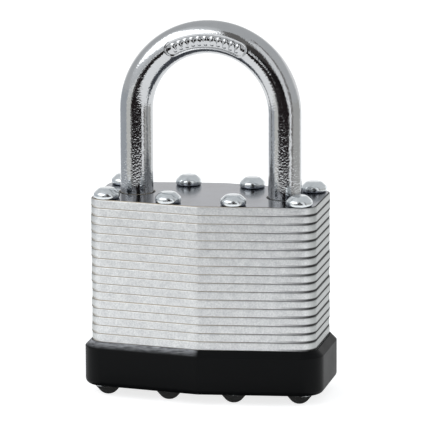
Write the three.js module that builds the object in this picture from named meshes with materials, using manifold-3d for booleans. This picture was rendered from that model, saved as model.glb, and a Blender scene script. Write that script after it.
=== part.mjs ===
// A laminated padlock: 21 riveted steel plates around a pin-tumbler cylinder, with a round steel
// shackle and a black plastic bumper cup. Millimetres, +Z up, X across the width, -Y to the front.
// The origin is under the middle of the body, at the height of the lower rivet heads' flats.
// The shackle is down and the plug is turned to its released place, so the locking levers are drawn in.
import * as THREE from "three";
import { mergeVertices } from "three/addons/utils/BufferGeometryUtils.js";
import Module from "manifold-3d";

const wasm = await Module();
wasm.setup();

// Laminated body. Its outline is a long hexagon: front and back each have two facets meeting at a ridge.
const BODY_WIDTH = 40.3;
const RIDGE_DEPTH = 21.5; // front to back at the middle ridges
const END_DEPTH = 16.15; // front to back at the two flat ends
const CORNER_RADIUS = 2.8;
const CORNER_STEPS = 3;
const PLATE_COUNT = 21;
const PLATE_THICKNESS = 1.5;
const ROOF_PLATES = 3; // solid plates over the levers
const LEVER_PLATES = 2; // plates slotted for the levers
const FRONT_WALL = 1.65; // metal left between the cylinder's pocket and the outside

// Rivets through the whole stack, two rows of four.
const INNER_RIVET_SPACING = 11.6;
const OUTER_RIVET_INSET = 2.95; // from each flat end
const RIVET_EDGE = 2.1; // rivet axis to the facet, measured along Y
const RIVET_SHANK = 2.6;
const RIVET_HEAD = 4.6;
const RIVET_HEAD_HEIGHT = 1.9;
const RIVET_RIM_HEIGHT = 0.7; // straight rim under the dome of each head
const RIVET_FLAT = 1.8; // diameter of the flat on the head's crown
const RIVET_SIDES = 8;
const RIVET_WEB = 0.7; // metal left between the inner rivets and the lever pocket

// Bumper cup around the lowest plates.
const BUMPER_WALL = 1.27;
const BUMPER_FLOOR = 1.9;
const BUMPER_PLATES = 4; // plates that stand inside the cup
const SHOULDER_DROP = 1.0;
const SHOULDER_LAND = 0.3;
const BUMPER_FOOT_CHAMFER = 0.6;
const KEY_OPENING_MARGIN = 1.1; // bumper's key opening round the plug's nose

// Shackle. The left leg is the heel, which stays in the body, and the right leg is the toe.
const SHACKLE_DIAMETER = 5.85;
const LEG_SPACING = 26.6; // axis to axis
const SHACKLE_HEIGHT = 30.95; // top of the crown above the top plate
const CROWN_STEPS = 18;
const LEG_SIDES = 12;
const TOE_TIP = 3.5; // toe below the lever level
const TOE_NOSE = 0.7; // height of the toe's tapered end
const TOE_TAPER = 0.6;
const TOE_STEP = 0.2;
const HEEL_CHAMFER = 0.4;
const TOE_CLEAR = 1.0; // toe above the top plate when the shackle is up
const NOTCH_DEPTH = 1.15;
const NECK_DIAMETER = 3.7; // reduced heel that rides past the stop pin and the lever
const HEEL_COLLAR = 2.7;
const STOP_PIN_LENGTH = 9;

// Cylinder.
const PLUG_DIAMETER = 9;
const FLANGE_LIP = 0.6; // flange and nose step out and in from the plug's side
const FLANGE_HEIGHT = 1.2;
const NOSE_STEP = 0.3;
const PLUG_NECK = 4; // groove for the retaining clip
const PLUG_NECK_HEIGHT = 1.3;
const PLUG_SIDES = 20;
const HOUSING_WALL = 1.5;
const PIN_RIB_WIDTH = 6.4; // the housing's rib that holds the pin chambers
const CHAMBER_COVER = 0.5;
const PIN_DIAMETER = 2.4;
const PIN_SIDES = 8;
const FIRST_PIN = 3.9; // above the housing's lower end
const LAST_PIN = 3.6; // below the housing's upper end
const KEY_PIN_LENGTHS = [3.0, 3.8, 2.6, 3.4];
const DRIVER_PIN_LENGTH = 2.4;
const PIN_DROP = 1.0; // how far a key pin can fall into an empty keyway
const KEYWAY_LENGTH = 17.5;
const KEYWAY_WIDTH = 1.8;
const KEYWAY_SLOT = 1.2;
const KEYWAY_FRONT = 2.2; // from the plug's axis towards the pins
const KEYWAY_REAR = 3.3;
const KEYWAY_LAP = 0.5;
const CLIP_DIAMETER = 7.6;
const CLIP_THICKNESS = 0.8;
const CLIP_MOUTH = 3.2;

// Cam and locking levers.
const LEVER_TRAVEL = 1.2;
const LEVER_TIP_WIDTH = 4.8;
const LEVER_ARM = 1.0; // width of the arm that reaches round the cam
const LUG_LENGTH = 1.2;
const LEVER_BODY_LENGTH = 2.5;

// Springs: wire diameter, mean coil diameter, and pitch as fitted.
const SHACKLE_SPRING = { wire: 0.7, coil: 4.6, pitch: 1.0, sides: 6, steps: 12 };
const LEVER_SPRING = { wire: 0.4, coil: 1.8, pitch: 1.15, sides: 5, steps: 8 };
const PIN_SPRING = { wire: 0.3, coil: 1.7, pitch: 0.7, sides: 5, steps: 8 };

// Clearances.
const SLIDE_GAP = 0.15; // between pieces that slide or turn on each other
const FREE_GAP = 0.3; // between pieces that pass without touching
const FIT_GAP = 0.1; // round a piece that is pressed or clamped in
const LEG_GAP = 0.25; // round each leg of the shackle

// How far a cutter runs past the face it opens, and how far joined shapes run into each other.
const PAST = 1;
const LAP = 0.5;

// Heights that follow from the stack.
const STACK_BOTTOM = RIVET_HEAD_HEIGHT + BUMPER_FLOOR;
const plateBottom = (index) => STACK_BOTTOM + index * PLATE_THICKNESS;
const STACK_TOP = plateBottom(PLATE_COUNT);
const LEVER_INDEX = PLATE_COUNT - ROOF_PLATES - LEVER_PLATES;
const CLIP_INDEX = LEVER_INDEX - 1;
const STOP_PIN_INDEX = CLIP_INDEX - 1;
const LEVER_BOTTOM = plateBottom(LEVER_INDEX) + SLIDE_GAP;
const LEVER_TOP = plateBottom(LEVER_INDEX + LEVER_PLATES) - SLIDE_GAP;
const HOUSING_BOTTOM = plateBottom(1);
const HOUSING_TOP = plateBottom(CLIP_INDEX) - FREE_GAP;
const BUMPER_TOP = plateBottom(BUMPER_PLATES);

// Half depth of the body at a distance from the middle ridge, and the rivet axes.
const facetDepth = (x) =>
  RIDGE_DEPTH / 2 - ((RIDGE_DEPTH - END_DEPTH) / BODY_WIDTH) * Math.abs(x);
const INNER_RIVET_X = INNER_RIVET_SPACING / 2;
const OUTER_RIVET_X = BODY_WIDTH / 2 - OUTER_RIVET_INSET;
const rivetY = (x) => facetDepth(x) - RIVET_EDGE;

// The levers, the cam and the lever spring share the width between the inner rivets.
const LEVER_BACK_Y = rivetY(INNER_RIVET_X) - RIVET_SHANK / 2 - RIVET_WEB - SLIDE_GAP;
const LEVER_FRONT_Y = -LEVER_BACK_Y;
const LEVER_SPRING_WIDTH = LEVER_SPRING.coil + LEVER_SPRING.wire;
const CAM_LENGTH = 2 * LEVER_BACK_Y - 2 * LEVER_ARM - LEVER_SPRING_WIDTH - 3 * FREE_GAP;
const CAM_WIDTH = CAM_LENGTH - 2 * LEVER_TRAVEL;
const RIGHT_ARM_Y = LEVER_BACK_Y - LEVER_ARM;
const PLUG_OFFSET = RIGHT_ARM_Y - FREE_GAP - CAM_LENGTH / 2; // plug axis behind the body's middle
const LEFT_ARM_Y = PLUG_OFFSET - CAM_LENGTH / 2 - FREE_GAP;
const SPRING_Y = LEVER_FRONT_Y + LEVER_SPRING_WIDTH / 2;

// Shackle and lever places that follow from each other.
const LEG_X = LEG_SPACING / 2;
const LEG_RADIUS = SHACKLE_DIAMETER / 2;
const TOE_BOTTOM = plateBottom(LEVER_INDEX) - TOE_TIP;
const SHACKLE_LIFT = STACK_TOP - TOE_BOTTOM + TOE_CLEAR;
const STOP_PIN_DIAMETER = PLATE_THICKNESS - FIT_GAP;
const STOP_PIN_Z = plateBottom(STOP_PIN_INDEX) + PLATE_THICKNESS / 2;
const NECK_TOP = STOP_PIN_Z + PLATE_THICKNESS / 2 + FREE_GAP;
const COLLAR_TOP = STOP_PIN_Z - STOP_PIN_DIAMETER / 2 - FREE_GAP - SHACKLE_LIFT;
const HEEL_BOTTOM = COLLAR_TOP - HEEL_COLLAR;
const STOP_PIN_X = LEG_X - NECK_DIAMETER / 2 - FREE_GAP - STOP_PIN_DIAMETER / 2;
const LEVER_REACH = LEG_X - LEG_RADIUS - FREE_GAP; // tip of a lever when drawn in
const LUG_FACE = CAM_LENGTH / 2 + FREE_GAP;
const LEVER_BODY_X = LUG_FACE + LUG_LENGTH + FREE_GAP;

// Cylinder places.
const PLUG_RADIUS = PLUG_DIAMETER / 2;
const FLANGE_DIAMETER = PLUG_DIAMETER + 2 * FLANGE_LIP;
const NOSE_DIAMETER = PLUG_DIAMETER - 2 * NOSE_STEP;
const HOUSING_DIAMETER = PLUG_DIAMETER + 2 * HOUSING_WALL;
const CAM_TOP = LEVER_TOP - SLIDE_GAP;
const COVER_FRONT_Y = FRONT_WALL + FIT_GAP - RIDGE_DEPTH / 2;
const RIB_FRONT_Y = COVER_FRONT_Y + CHAMBER_COVER;
const PIN_PITCH = (HOUSING_TOP - HOUSING_BOTTOM - FIRST_PIN - LAST_PIN) / (KEY_PIN_LENGTHS.length - 1);
const pinZ = (index) => HOUSING_BOTTOM + FIRST_PIN + index * PIN_PITCH;

const zincPlated = { color: 0xb9bbba, roughness: 0.45, metalness: 0.9 };
const brightZinc = { color: 0xc9ccd2, roughness: 0.2, metalness: 1 };
const polishedSteel = { color: 0xd6d8dc, roughness: 0.1, metalness: 1 };
const blackPlastic = { color: 0x16171a, roughness: 0.5, metalness: 0 };
const brass = { color: 0xb98f45, roughness: 0.35, metalness: 1 };
const dieCastZinc = { color: 0x9a9b9c, roughness: 0.55, metalness: 0.9 };
const springSteel = { color: 0x8b8d90, roughness: 0.35, metalness: 1 };
const hardenedSteel = { color: 0x5e6063, roughness: 0.4, metalness: 0.9 };

const padlock = new THREE.Group();

function addPiece(name, geometry, finish) {
  const mesh = new THREE.Mesh(geometry, new THREE.MeshStandardMaterial(finish));
  mesh.name = name;
  padlock.add(mesh);
  return mesh;
}

// A closed three.js geometry as a solid that can be joined and cut.
function toSolid(geometry) {
  const bare = geometry.clone();
  bare.deleteAttribute("normal");
  bare.deleteAttribute("uv");
  const merged = mergeVertices(bare, 1e-4);
  const mesh = new wasm.Mesh({
    numProp: 3,
    vertProperties: merged.attributes.position.array,
    triVerts: new Uint32Array(merged.index.array),
  });
  return new wasm.Manifold(mesh);
}

function toGeometry(solid) {
  const mesh = solid.getMesh();
  const geometry = new THREE.BufferGeometry();
  geometry.setAttribute("position", new THREE.BufferAttribute(mesh.vertProperties, 3));
  geometry.setIndex(new THREE.BufferAttribute(mesh.triVerts, 1));
  geometry.computeVertexNormals();
  return geometry;
}

const cutAll = (solid, cutters) => cutters.reduce((left, cutter) => left.subtract(cutter), solid);
const joinAll = (first, others) => others.reduce((sum, other) => sum.add(other), first);

// An outline in the XY plane, extruded upwards from one height to another.
function prism(outline, bottom, top) {
  const geometry = new THREE.ExtrudeGeometry(new THREE.Shape(outline), {
    depth: top - bottom,
    bevelEnabled: false,
  });
  return geometry.translate(0, 0, bottom);
}

function polygon(sides, radiusX, radiusY = radiusX, x = 0, y = 0) {
  return Array.from({ length: sides }, (_, i) => {
    const angle = (2 * Math.PI * i) / sides;
    return new THREE.Vector2(x + radiusX * Math.cos(angle), y + radiusY * Math.sin(angle));
  });
}

const rectangle = (x0, y0, x1, y1) => [
  new THREE.Vector2(x0, y0),
  new THREE.Vector2(x1, y0),
  new THREE.Vector2(x1, y1),
  new THREE.Vector2(x0, y1),
];

const rod = (sides, diameter, bottom, top, x = 0, y = 0) =>
  toSolid(prism(polygon(sides, diameter / 2, diameter / 2, x, y), bottom, top));

const block = (x0, y0, x1, y1, bottom, top) => toSolid(prism(rectangle(x0, y0, x1, y1), bottom, top));

// A turned piece around the Z axis, from its profile of [radius, height] points that starts and ends
// on the axis.
function turned(profile, sides) {
  const points = profile.map(([radius, height]) => new THREE.Vector2(radius, height));
  return new THREE.LatheGeometry(points, sides).rotateX(Math.PI / 2);
}

// The body's outline, moved outwards by an offset, with rounded end corners.
function bodyOutline(offset) {
  const slope = Math.atan((RIDGE_DEPTH - END_DEPTH) / BODY_WIDTH);
  const endX = BODY_WIDTH / 2 + offset;
  const ridgeY = RIDGE_DEPTH / 2 + offset / Math.cos(slope);
  const cornerY = ridgeY - endX * Math.tan(slope);
  const radius = CORNER_RADIUS + offset;
  const centreX = endX - radius;
  const turn = Math.PI / 2 - slope; // from the end's normal to the facet's normal
  const centreY = cornerY - radius * Math.tan(turn / 2);
  const quarter = Array.from({ length: CORNER_STEPS + 1 }, (_, i) => {
    const angle = (turn * i) / CORNER_STEPS;
    return [centreX + radius * Math.cos(angle), centreY + radius * Math.sin(angle)];
  });
  const right = quarter.map(([x, y]) => [x, -y]).reverse().concat(quarter);
  const left = right.map(([x, y]) => [-x, -y]);
  const points = [...right, [0, ridgeY], ...left, [0, -ridgeY]];
  return points.map(([x, y]) => new THREE.Vector2(x, y));
}

// A solid skinned over outlines at rising heights, all with the same number of points.
function skinned(layers) {
  const count = layers[0].outline.length;
  const position = layers.flatMap(({ outline, height }) => outline.flatMap((p) => [p.x, p.y, height]));
  const cap = THREE.ShapeUtils.triangulateShape(layers[0].outline, []);
  const topStart = (layers.length - 1) * count;
  const index = cap.flatMap(([a, b, c]) => [a, c, b, topStart + a, topStart + b, topStart + c]);
  for (let layer = 0; layer < layers.length - 1; layer += 1) {
    for (let i = 0; i < count; i += 1) {
      const low = layer * count + i;
      const lowNext = layer * count + ((i + 1) % count);
      index.push(low, lowNext, lowNext + count, low, lowNext + count, low + count);
    }
  }
  const geometry = new THREE.BufferGeometry();
  geometry.setAttribute("position", new THREE.Float32BufferAttribute(position, 3));
  geometry.setIndex(index);
  return toSolid(geometry);
}

// Rivets: a shank with a button head at each end.
const rivets = [-OUTER_RIVET_X, -INNER_RIVET_X, INNER_RIVET_X, OUTER_RIVET_X].flatMap((x, column) =>
  [-1, 1].map((side) => ({
    name: `rivet_${side < 0 ? "front" : "rear"}_${column + 1}`,
    x,
    y: side * rivetY(x),
  })),
);

function rivetGeometry() {
  const rim = RIVET_HEAD / 2;
  const dome = RIVET_HEAD_HEIGHT - RIVET_RIM_HEIGHT;
  const flat = RIVET_FLAT / 2;
  const domed = [Math.PI / 4, Math.PI / 2].map((angle) => [
    flat + (rim - flat) * Math.sin(angle),
    dome * (1 - Math.cos(angle)),
  ]);
  const lower = [[0, 0], [flat, 0], ...domed, [rim, RIVET_HEAD_HEIGHT]];
  const length = STACK_TOP + RIVET_HEAD_HEIGHT;
  const upper = lower.map(([radius, height]) => [radius, length - height]).reverse();
  const shank = [[RIVET_SHANK / 2, RIVET_HEAD_HEIGHT], [RIVET_SHANK / 2, STACK_TOP]];
  return turned([...lower, ...shank, ...upper], RIVET_SIDES);
}

for (const { name, x, y } of rivets) {
  addPiece(name, rivetGeometry(), brightZinc).position.set(x, y, 0);
}

// Cutters that run through a level of the stack.
const rivetHoles = (bottom, top) =>
  rivets.map(({ x, y }) => rod(RIVET_SIDES, RIVET_SHANK + 2 * FIT_GAP, bottom, top, x, y));
const legHole = (side, bottom, top) =>
  rod(LEG_SIDES, SHACKLE_DIAMETER + 2 * LEG_GAP, bottom, top, side * LEG_X, 0);

function housingOutline(gap, bottom, top) {
  const barrel = rod(PLUG_SIDES, HOUSING_DIAMETER + 2 * gap, bottom, top, 0, PLUG_OFFSET);
  const rib = block(-PIN_RIB_WIDTH / 2 - gap, RIB_FRONT_Y, PIN_RIB_WIDTH / 2 + gap, PLUG_OFFSET, bottom, top);
  return barrel.add(rib);
}

function leverPocket(bottom, top) {
  const wellX = LEVER_BODY_X + LEVER_BODY_LENGTH + LEVER_TRAVEL + FREE_GAP;
  const well = block(-wellX, LEVER_FRONT_Y - SLIDE_GAP, wellX, LEVER_BACK_Y + SLIDE_GAP, bottom, top);
  const halfTip = LEVER_TIP_WIDTH / 2 + SLIDE_GAP;
  return well.add(block(-LEG_X, -halfTip, LEG_X, halfTip, bottom, top));
}

// What is cut from the plate at one place in the stack, besides the rivet holes.
function plateCutters(index, bottom, top) {
  if (index === 0) {
    return [rod(PLUG_SIDES, NOSE_DIAMETER + 2 * FREE_GAP, bottom, top, 0, PLUG_OFFSET)];
  }
  const cutters = [legHole(-1, bottom, top)];
  if (plateBottom(index + 1) > TOE_BOTTOM - FREE_GAP) {
    cutters.push(legHole(1, bottom, top));
  }
  if (index < CLIP_INDEX) {
    const seatY = RIB_FRONT_Y - CHAMBER_COVER - FIT_GAP;
    const halfRib = PIN_RIB_WIDTH / 2 + FIT_GAP;
    cutters.push(housingOutline(FIT_GAP, bottom, top));
    cutters.push(block(-halfRib, seatY, halfRib, PLUG_OFFSET, bottom, top));
  }
  if (index === STOP_PIN_INDEX) {
    const halfSlot = STOP_PIN_DIAMETER / 2 + FIT_GAP;
    const halfLength = STOP_PIN_LENGTH / 2 + FIT_GAP;
    cutters.push(block(-STOP_PIN_X - halfSlot, -halfLength, -STOP_PIN_X + halfSlot, halfLength, bottom, top));
  }
  if (index === CLIP_INDEX) {
    cutters.push(rod(PLUG_SIDES, CLIP_DIAMETER + 2 * FREE_GAP, bottom, top, 0, PLUG_OFFSET));
  }
  if (index >= LEVER_INDEX && index < LEVER_INDEX + LEVER_PLATES) {
    cutters.push(leverPocket(bottom, top));
  }
  return cutters;
}

for (let index = 0; index < PLATE_COUNT; index += 1) {
  const bottom = plateBottom(index);
  const top = plateBottom(index + 1);
  const blank = toSolid(prism(bodyOutline(0), bottom, top));
  const reach = [bottom - PAST, top + PAST];
  const cutters = [...rivetHoles(...reach), ...plateCutters(index, ...reach)];
  addPiece(`plate_${String(index + 1).padStart(2, "0")}`, toGeometry(cutAll(blank, cutters)), zincPlated);
}

// Bumper: a moulded cup, clamped between the lowest plate and the lower rivet heads.
const bumperBlank = skinned([
  { outline: bodyOutline(BUMPER_WALL - BUMPER_FOOT_CHAMFER), height: RIVET_HEAD_HEIGHT },
  { outline: bodyOutline(BUMPER_WALL), height: RIVET_HEAD_HEIGHT + BUMPER_FOOT_CHAMFER },
  { outline: bodyOutline(BUMPER_WALL), height: BUMPER_TOP - SHOULDER_DROP },
  { outline: bodyOutline(SHOULDER_LAND), height: BUMPER_TOP },
]);
const bumper = cutAll(bumperBlank, [
  toSolid(prism(bodyOutline(FIT_GAP), STACK_BOTTOM, BUMPER_TOP + PAST)),
  rod(PLUG_SIDES, NOSE_DIAMETER + 2 * KEY_OPENING_MARGIN, 0, STACK_BOTTOM + PAST, 0, PLUG_OFFSET),
  ...rivetHoles(0, STACK_BOTTOM + PAST),
]);
addPiece("bumper", toGeometry(bumper), blackPlastic);

// Shackle: one bent rod. The bend is swept round half a circle with a straight stretch at each end.
class ShacklePath extends THREE.Curve {
  constructor(legBottom) {
    super();
    this.legBottom = legBottom;
    this.bendZ = STACK_TOP + SHACKLE_HEIGHT - LEG_RADIUS - LEG_X;
  }

  getPoint(t) {
    const station = t * (CROWN_STEPS + 2);
    if (station < 1) {
      return new THREE.Vector3(-LEG_X, 0, THREE.MathUtils.lerp(this.legBottom.heel, this.bendZ, station));
    }
    if (station > CROWN_STEPS + 1) {
      const down = station - CROWN_STEPS - 1;
      return new THREE.Vector3(LEG_X, 0, THREE.MathUtils.lerp(this.bendZ, this.legBottom.toe, down));
    }
    const angle = Math.PI * (1 - (station - 1) / CROWN_STEPS);
    return new THREE.Vector3(LEG_X * Math.cos(angle), 0, this.bendZ + LEG_X * Math.sin(angle));
  }

  getPointAt(u) {
    return this.getPoint(u);
  }

  getTangentAt(u) {
    const station = u * (CROWN_STEPS + 2);
    const bend = THREE.MathUtils.clamp(station - 1, 0, CROWN_STEPS) / CROWN_STEPS;
    return new THREE.Vector3(Math.sin(Math.PI * bend), 0, Math.cos(Math.PI * bend));
  }
}

const legRing = new THREE.Shape(polygon(LEG_SIDES, LEG_RADIUS));
const bentRod = new THREE.ExtrudeGeometry(legRing, {
  steps: CROWN_STEPS + 2,
  extrudePath: new ShacklePath({ heel: NECK_TOP, toe: TOE_BOTTOM + TOE_NOSE }),
});
const neckRadius = NECK_DIAMETER / 2;
const heelEnd = turned(
  [
    [0, HEEL_BOTTOM],
    [LEG_RADIUS - HEEL_CHAMFER, HEEL_BOTTOM],
    [LEG_RADIUS, HEEL_BOTTOM + HEEL_CHAMFER],
    [LEG_RADIUS, COLLAR_TOP],
    [neckRadius, COLLAR_TOP],
    [neckRadius, NECK_TOP + LAP],
    [0, NECK_TOP + LAP],
  ],
  LEG_SIDES,
).translate(-LEG_X, 0, 0);
const noseRadius = LEG_RADIUS - TOE_STEP;
const toeEnd = turned(
  [
    [0, TOE_BOTTOM],
    [noseRadius - TOE_TAPER, TOE_BOTTOM],
    [noseRadius, TOE_BOTTOM + TOE_NOSE],
    [noseRadius, TOE_BOTTOM + TOE_NOSE + LAP],
    [0, TOE_BOTTOM + TOE_NOSE + LAP],
  ],
  LEG_SIDES,
).translate(LEG_X, 0, 0);
const notchX = LEG_X - LEG_RADIUS + NOTCH_DEPTH;
const notchBottom = plateBottom(LEVER_INDEX) - SLIDE_GAP;
const notchTop = plateBottom(LEVER_INDEX + LEVER_PLATES) + SLIDE_GAP;
const notches = [-1, 1].map((side) => {
  const [x0, x1] = [side * (LEG_X - LEG_RADIUS - PAST), side * notchX].sort((a, b) => a - b);
  return block(x0, -LEG_RADIUS - PAST, x1, LEG_RADIUS + PAST, notchBottom, notchTop);
});
const shackle = cutAll(joinAll(toSolid(bentRod), [toSolid(heelEnd), toSolid(toeEnd)]), notches);
addPiece("shackle", toGeometry(shackle), polishedSteel);

// Stop pin: lies across the stack beside the heel's neck and catches its collar when the shackle is up.
const stopPin = toGeometry(rod(PIN_SIDES, STOP_PIN_DIAMETER, -STOP_PIN_LENGTH / 2, STOP_PIN_LENGTH / 2));
stopPin.rotateX(Math.PI / 2);
addPiece("shackle_stop_pin", stopPin, hardenedSteel).position.set(-STOP_PIN_X, 0, STOP_PIN_Z);

// A coil spring along +Z from the origin, wound to fill a length at its fitted pitch.
function coilSpring({ wire, coil, pitch, sides, steps }, length) {
  const rise = length - wire;
  const turns = Math.max(1, Math.floor(rise / pitch));
  class Helix extends THREE.Curve {
    getPoint(t) {
      const angle = 2 * Math.PI * turns * t;
      const radius = coil / 2;
      return new THREE.Vector3(radius * Math.cos(angle), radius * Math.sin(angle), wire / 2 + rise * t);
    }
  }
  return new THREE.ExtrudeGeometry(new THREE.Shape(polygon(sides, wire / 2)), {
    steps: turns * steps,
    extrudePath: new Helix(),
  });
}

// Shackle spring: stands in the heel's hole and pushes the shackle up.
const shackleSpring = coilSpring(SHACKLE_SPRING, HEEL_BOTTOM - HOUSING_BOTTOM - FREE_GAP);
addPiece("shackle_spring", shackleSpring, springSteel).position.set(-LEG_X, 0, HOUSING_BOTTOM + FREE_GAP / 2);

// Housing: a barrel for the plug with a rib that holds the pin chambers.
const chamber = (z) => {
  const bore = toGeometry(rod(PIN_SIDES, PIN_DIAMETER + 2 * FIT_GAP, 0, PLUG_OFFSET - RIB_FRONT_Y + PAST));
  return toSolid(bore.rotateX(Math.PI / 2).translate(0, PLUG_OFFSET, z));
};
const pins = KEY_PIN_LENGTHS.map((length, index) => ({ length, z: pinZ(index), number: index + 1 }));
const housing = cutAll(housingOutline(0, HOUSING_BOTTOM, HOUSING_TOP), [
  rod(PLUG_SIDES, PLUG_DIAMETER + 2 * SLIDE_GAP, HOUSING_BOTTOM - PAST, HOUSING_TOP + PAST, 0, PLUG_OFFSET),
  rod(
    PLUG_SIDES,
    FLANGE_DIAMETER + 2 * SLIDE_GAP,
    HOUSING_BOTTOM - PAST,
    HOUSING_BOTTOM + FLANGE_HEIGHT + 2 * SLIDE_GAP,
    0,
    PLUG_OFFSET,
  ),
  ...pins.map(({ z }) => chamber(z)),
]);
addPiece("cylinder_housing", toGeometry(housing), dieCastZinc);

// Cover strip: closes the outer ends of the pin chambers.
addPiece(
  "pin_chamber_cover",
  prism(
    rectangle(-PIN_RIB_WIDTH / 2, COVER_FRONT_Y, PIN_RIB_WIDTH / 2, RIB_FRONT_Y),
    HOUSING_BOTTOM,
    HOUSING_TOP,
  ),
  brass,
);

// Plug group: turns about its own axis. It is drawn in its locked place, with the pins to the front,
// and stands a quarter turn on from there.
const plugGroup = new THREE.Group();
plugGroup.position.set(0, PLUG_OFFSET, 0);
plugGroup.rotation.z = Math.PI / 2;
padlock.add(plugGroup);

const plugBottom = STACK_BOTTOM + FREE_GAP;
const flangeBottom = HOUSING_BOTTOM + SLIDE_GAP;
const flangeTop = flangeBottom + FLANGE_HEIGHT;
const neckTop = HOUSING_TOP + PLUG_NECK_HEIGHT;
// The keyway is two slots side by side that overlap in the middle, so that its section is a step.
const keywayFront = [-KEYWAY_WIDTH / 2, -KEYWAY_FRONT, -KEYWAY_WIDTH / 2 + KEYWAY_SLOT, KEYWAY_LAP];
const keywayRear = [KEYWAY_WIDTH / 2 - KEYWAY_SLOT, -KEYWAY_LAP, KEYWAY_WIDTH / 2, KEYWAY_REAR];
const keyway = [keywayFront, keywayRear].map((corners) =>
  toSolid(prism(rectangle(...corners), plugBottom - PAST, plugBottom + KEYWAY_LENGTH)),
);
const pinHole = (z) => {
  const depth = PLUG_RADIUS + PIN_DROP;
  const bore = toGeometry(rod(PIN_SIDES, PIN_DIAMETER + 2 * FIT_GAP, 0, depth));
  return toSolid(bore.rotateX(Math.PI / 2).translate(0, PIN_DROP, z));
};
const plugBlank = joinAll(rod(PLUG_SIDES, PLUG_DIAMETER, flangeTop - LAP, HOUSING_TOP), [
  rod(PLUG_SIDES, FLANGE_DIAMETER, flangeBottom, flangeTop),
  rod(PLUG_SIDES, NOSE_DIAMETER, plugBottom, flangeBottom + LAP),
  rod(LEG_SIDES, PLUG_NECK, HOUSING_TOP - LAP, neckTop),
  toSolid(prism(polygon(PLUG_SIDES, CAM_WIDTH / 2, CAM_LENGTH / 2), neckTop, CAM_TOP)),
  rod(PLUG_SIDES, CAM_WIDTH - FIT_GAP, neckTop - LAP, neckTop + LAP),
]);
const plug = cutAll(plugBlank, [
  ...keyway,
  ...pins.map(({ z }) => pinHole(z)),
]);
const plugMesh = addPiece("plug", toGeometry(plug), brass);
plugGroup.add(plugMesh);

// Retaining clip: an open ring in the plug's groove, just over the housing.
const ring = rod(PLUG_SIDES, CLIP_DIAMETER, 0, CLIP_THICKNESS);
const clip = cutAll(ring, [
  rod(LEG_SIDES, PLUG_NECK + 2 * SLIDE_GAP, -PAST, CLIP_THICKNESS + PAST),
  block(0, -CLIP_MOUTH / 2, CLIP_DIAMETER, CLIP_MOUTH / 2, -PAST, CLIP_THICKNESS + PAST),
]);
const clipMesh = addPiece("plug_clip", toGeometry(clip), springSteel);
clipMesh.position.z = HOUSING_TOP + SLIDE_GAP;
plugGroup.add(clipMesh);

// A pin that lies along Y with its rear end at the given place.
function radialPin(name, length, rearY, z, finish) {
  const pin = toGeometry(rod(PIN_SIDES, PIN_DIAMETER, 0, length)).rotateX(Math.PI / 2);
  const mesh = addPiece(name, pin, finish);
  mesh.position.set(0, rearY, z);
  return mesh;
}

// Key pins stop at the plug's surface, as the right key would hold them, and turn with the plug.
// Driver pins and their springs wait in the housing, outside that surface.
for (const { length, z, number } of pins) {
  plugGroup.add(radialPin(`key_pin_${number}`, length, length - PLUG_RADIUS + FIT_GAP, z, brass));
  const driverRear = PLUG_OFFSET - PLUG_RADIUS - SLIDE_GAP;
  radialPin(`driver_pin_${number}`, DRIVER_PIN_LENGTH, driverRear, z, brass);
  const springRear = driverRear - DRIVER_PIN_LENGTH - FIT_GAP / 2;
  const spring = coilSpring(PIN_SPRING, springRear - RIB_FRONT_Y - FIT_GAP / 2);
  spring.rotateX(Math.PI / 2);
  addPiece(`pin_spring_${number}`, spring, springSteel).position.set(0, springRear, z);
}

// Locking levers: each has a tip for its leg's notch, and an arm round the cam that ends in a lug.
// The cam pushes both lugs apart to draw the tips in.
function lever(side, armInnerY, armOuterY, lugEndY) {
  const bodyEnd = LEVER_BODY_X + LEVER_BODY_LENGTH;
  const halfTip = LEVER_TIP_WIDTH / 2;
  const [armLow, armHigh] = [armInnerY, armOuterY].sort((a, b) => a - b);
  const parts = [
    rectangle(LEVER_BODY_X, LEVER_FRONT_Y, bodyEnd, LEVER_BACK_Y),
    rectangle(bodyEnd - LAP, -halfTip, LEVER_REACH, halfTip),
    rectangle(-LUG_FACE - LUG_LENGTH, armLow, LEVER_BODY_X + LAP, armHigh),
    rectangle(-LUG_FACE - LUG_LENGTH, Math.min(lugEndY, armLow), -LUG_FACE, Math.max(lugEndY, armHigh)),
  ].map((outline) => toSolid(prism(outline, LEVER_BOTTOM, LEVER_TOP)));
  const solid = joinAll(parts[0], parts.slice(1));
  return toGeometry(side < 0 ? solid.mirror([1, 0, 0]) : solid);
}
const lugOverlap = CAM_WIDTH / 2;
addPiece(
  "locking_lever_toe",
  lever(1, RIGHT_ARM_Y, RIGHT_ARM_Y + LEVER_ARM, PLUG_OFFSET - lugOverlap),
  hardenedSteel,
);
addPiece(
  "locking_lever_heel",
  lever(-1, LEFT_ARM_Y, LEFT_ARM_Y - LEVER_ARM, PLUG_OFFSET + lugOverlap),
  hardenedSteel,
);

// Lever spring: pushes the two levers apart, out towards the shackle's legs.
const leverSpring = coilSpring(LEVER_SPRING, 2 * LEVER_BODY_X - 2 * FIT_GAP).rotateY(Math.PI / 2);
addPiece("lever_spring", leverSpring, springSteel).position.set(
  FIT_GAP - LEVER_BODY_X,
  SPRING_Y,
  (LEVER_BOTTOM + LEVER_TOP) / 2,
);

export default padlock;
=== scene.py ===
# A laminated padlock, in metres, in the frame's own place: a riveted stack of steel plates with a
# pin-tumbler cylinder and two locking levers inside, a black bumper cup and a round polished shackle.
import math
import random

import bpy
from mathutils import Matrix, Vector
from mathutils.geometry import tessellate_polygon


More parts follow.
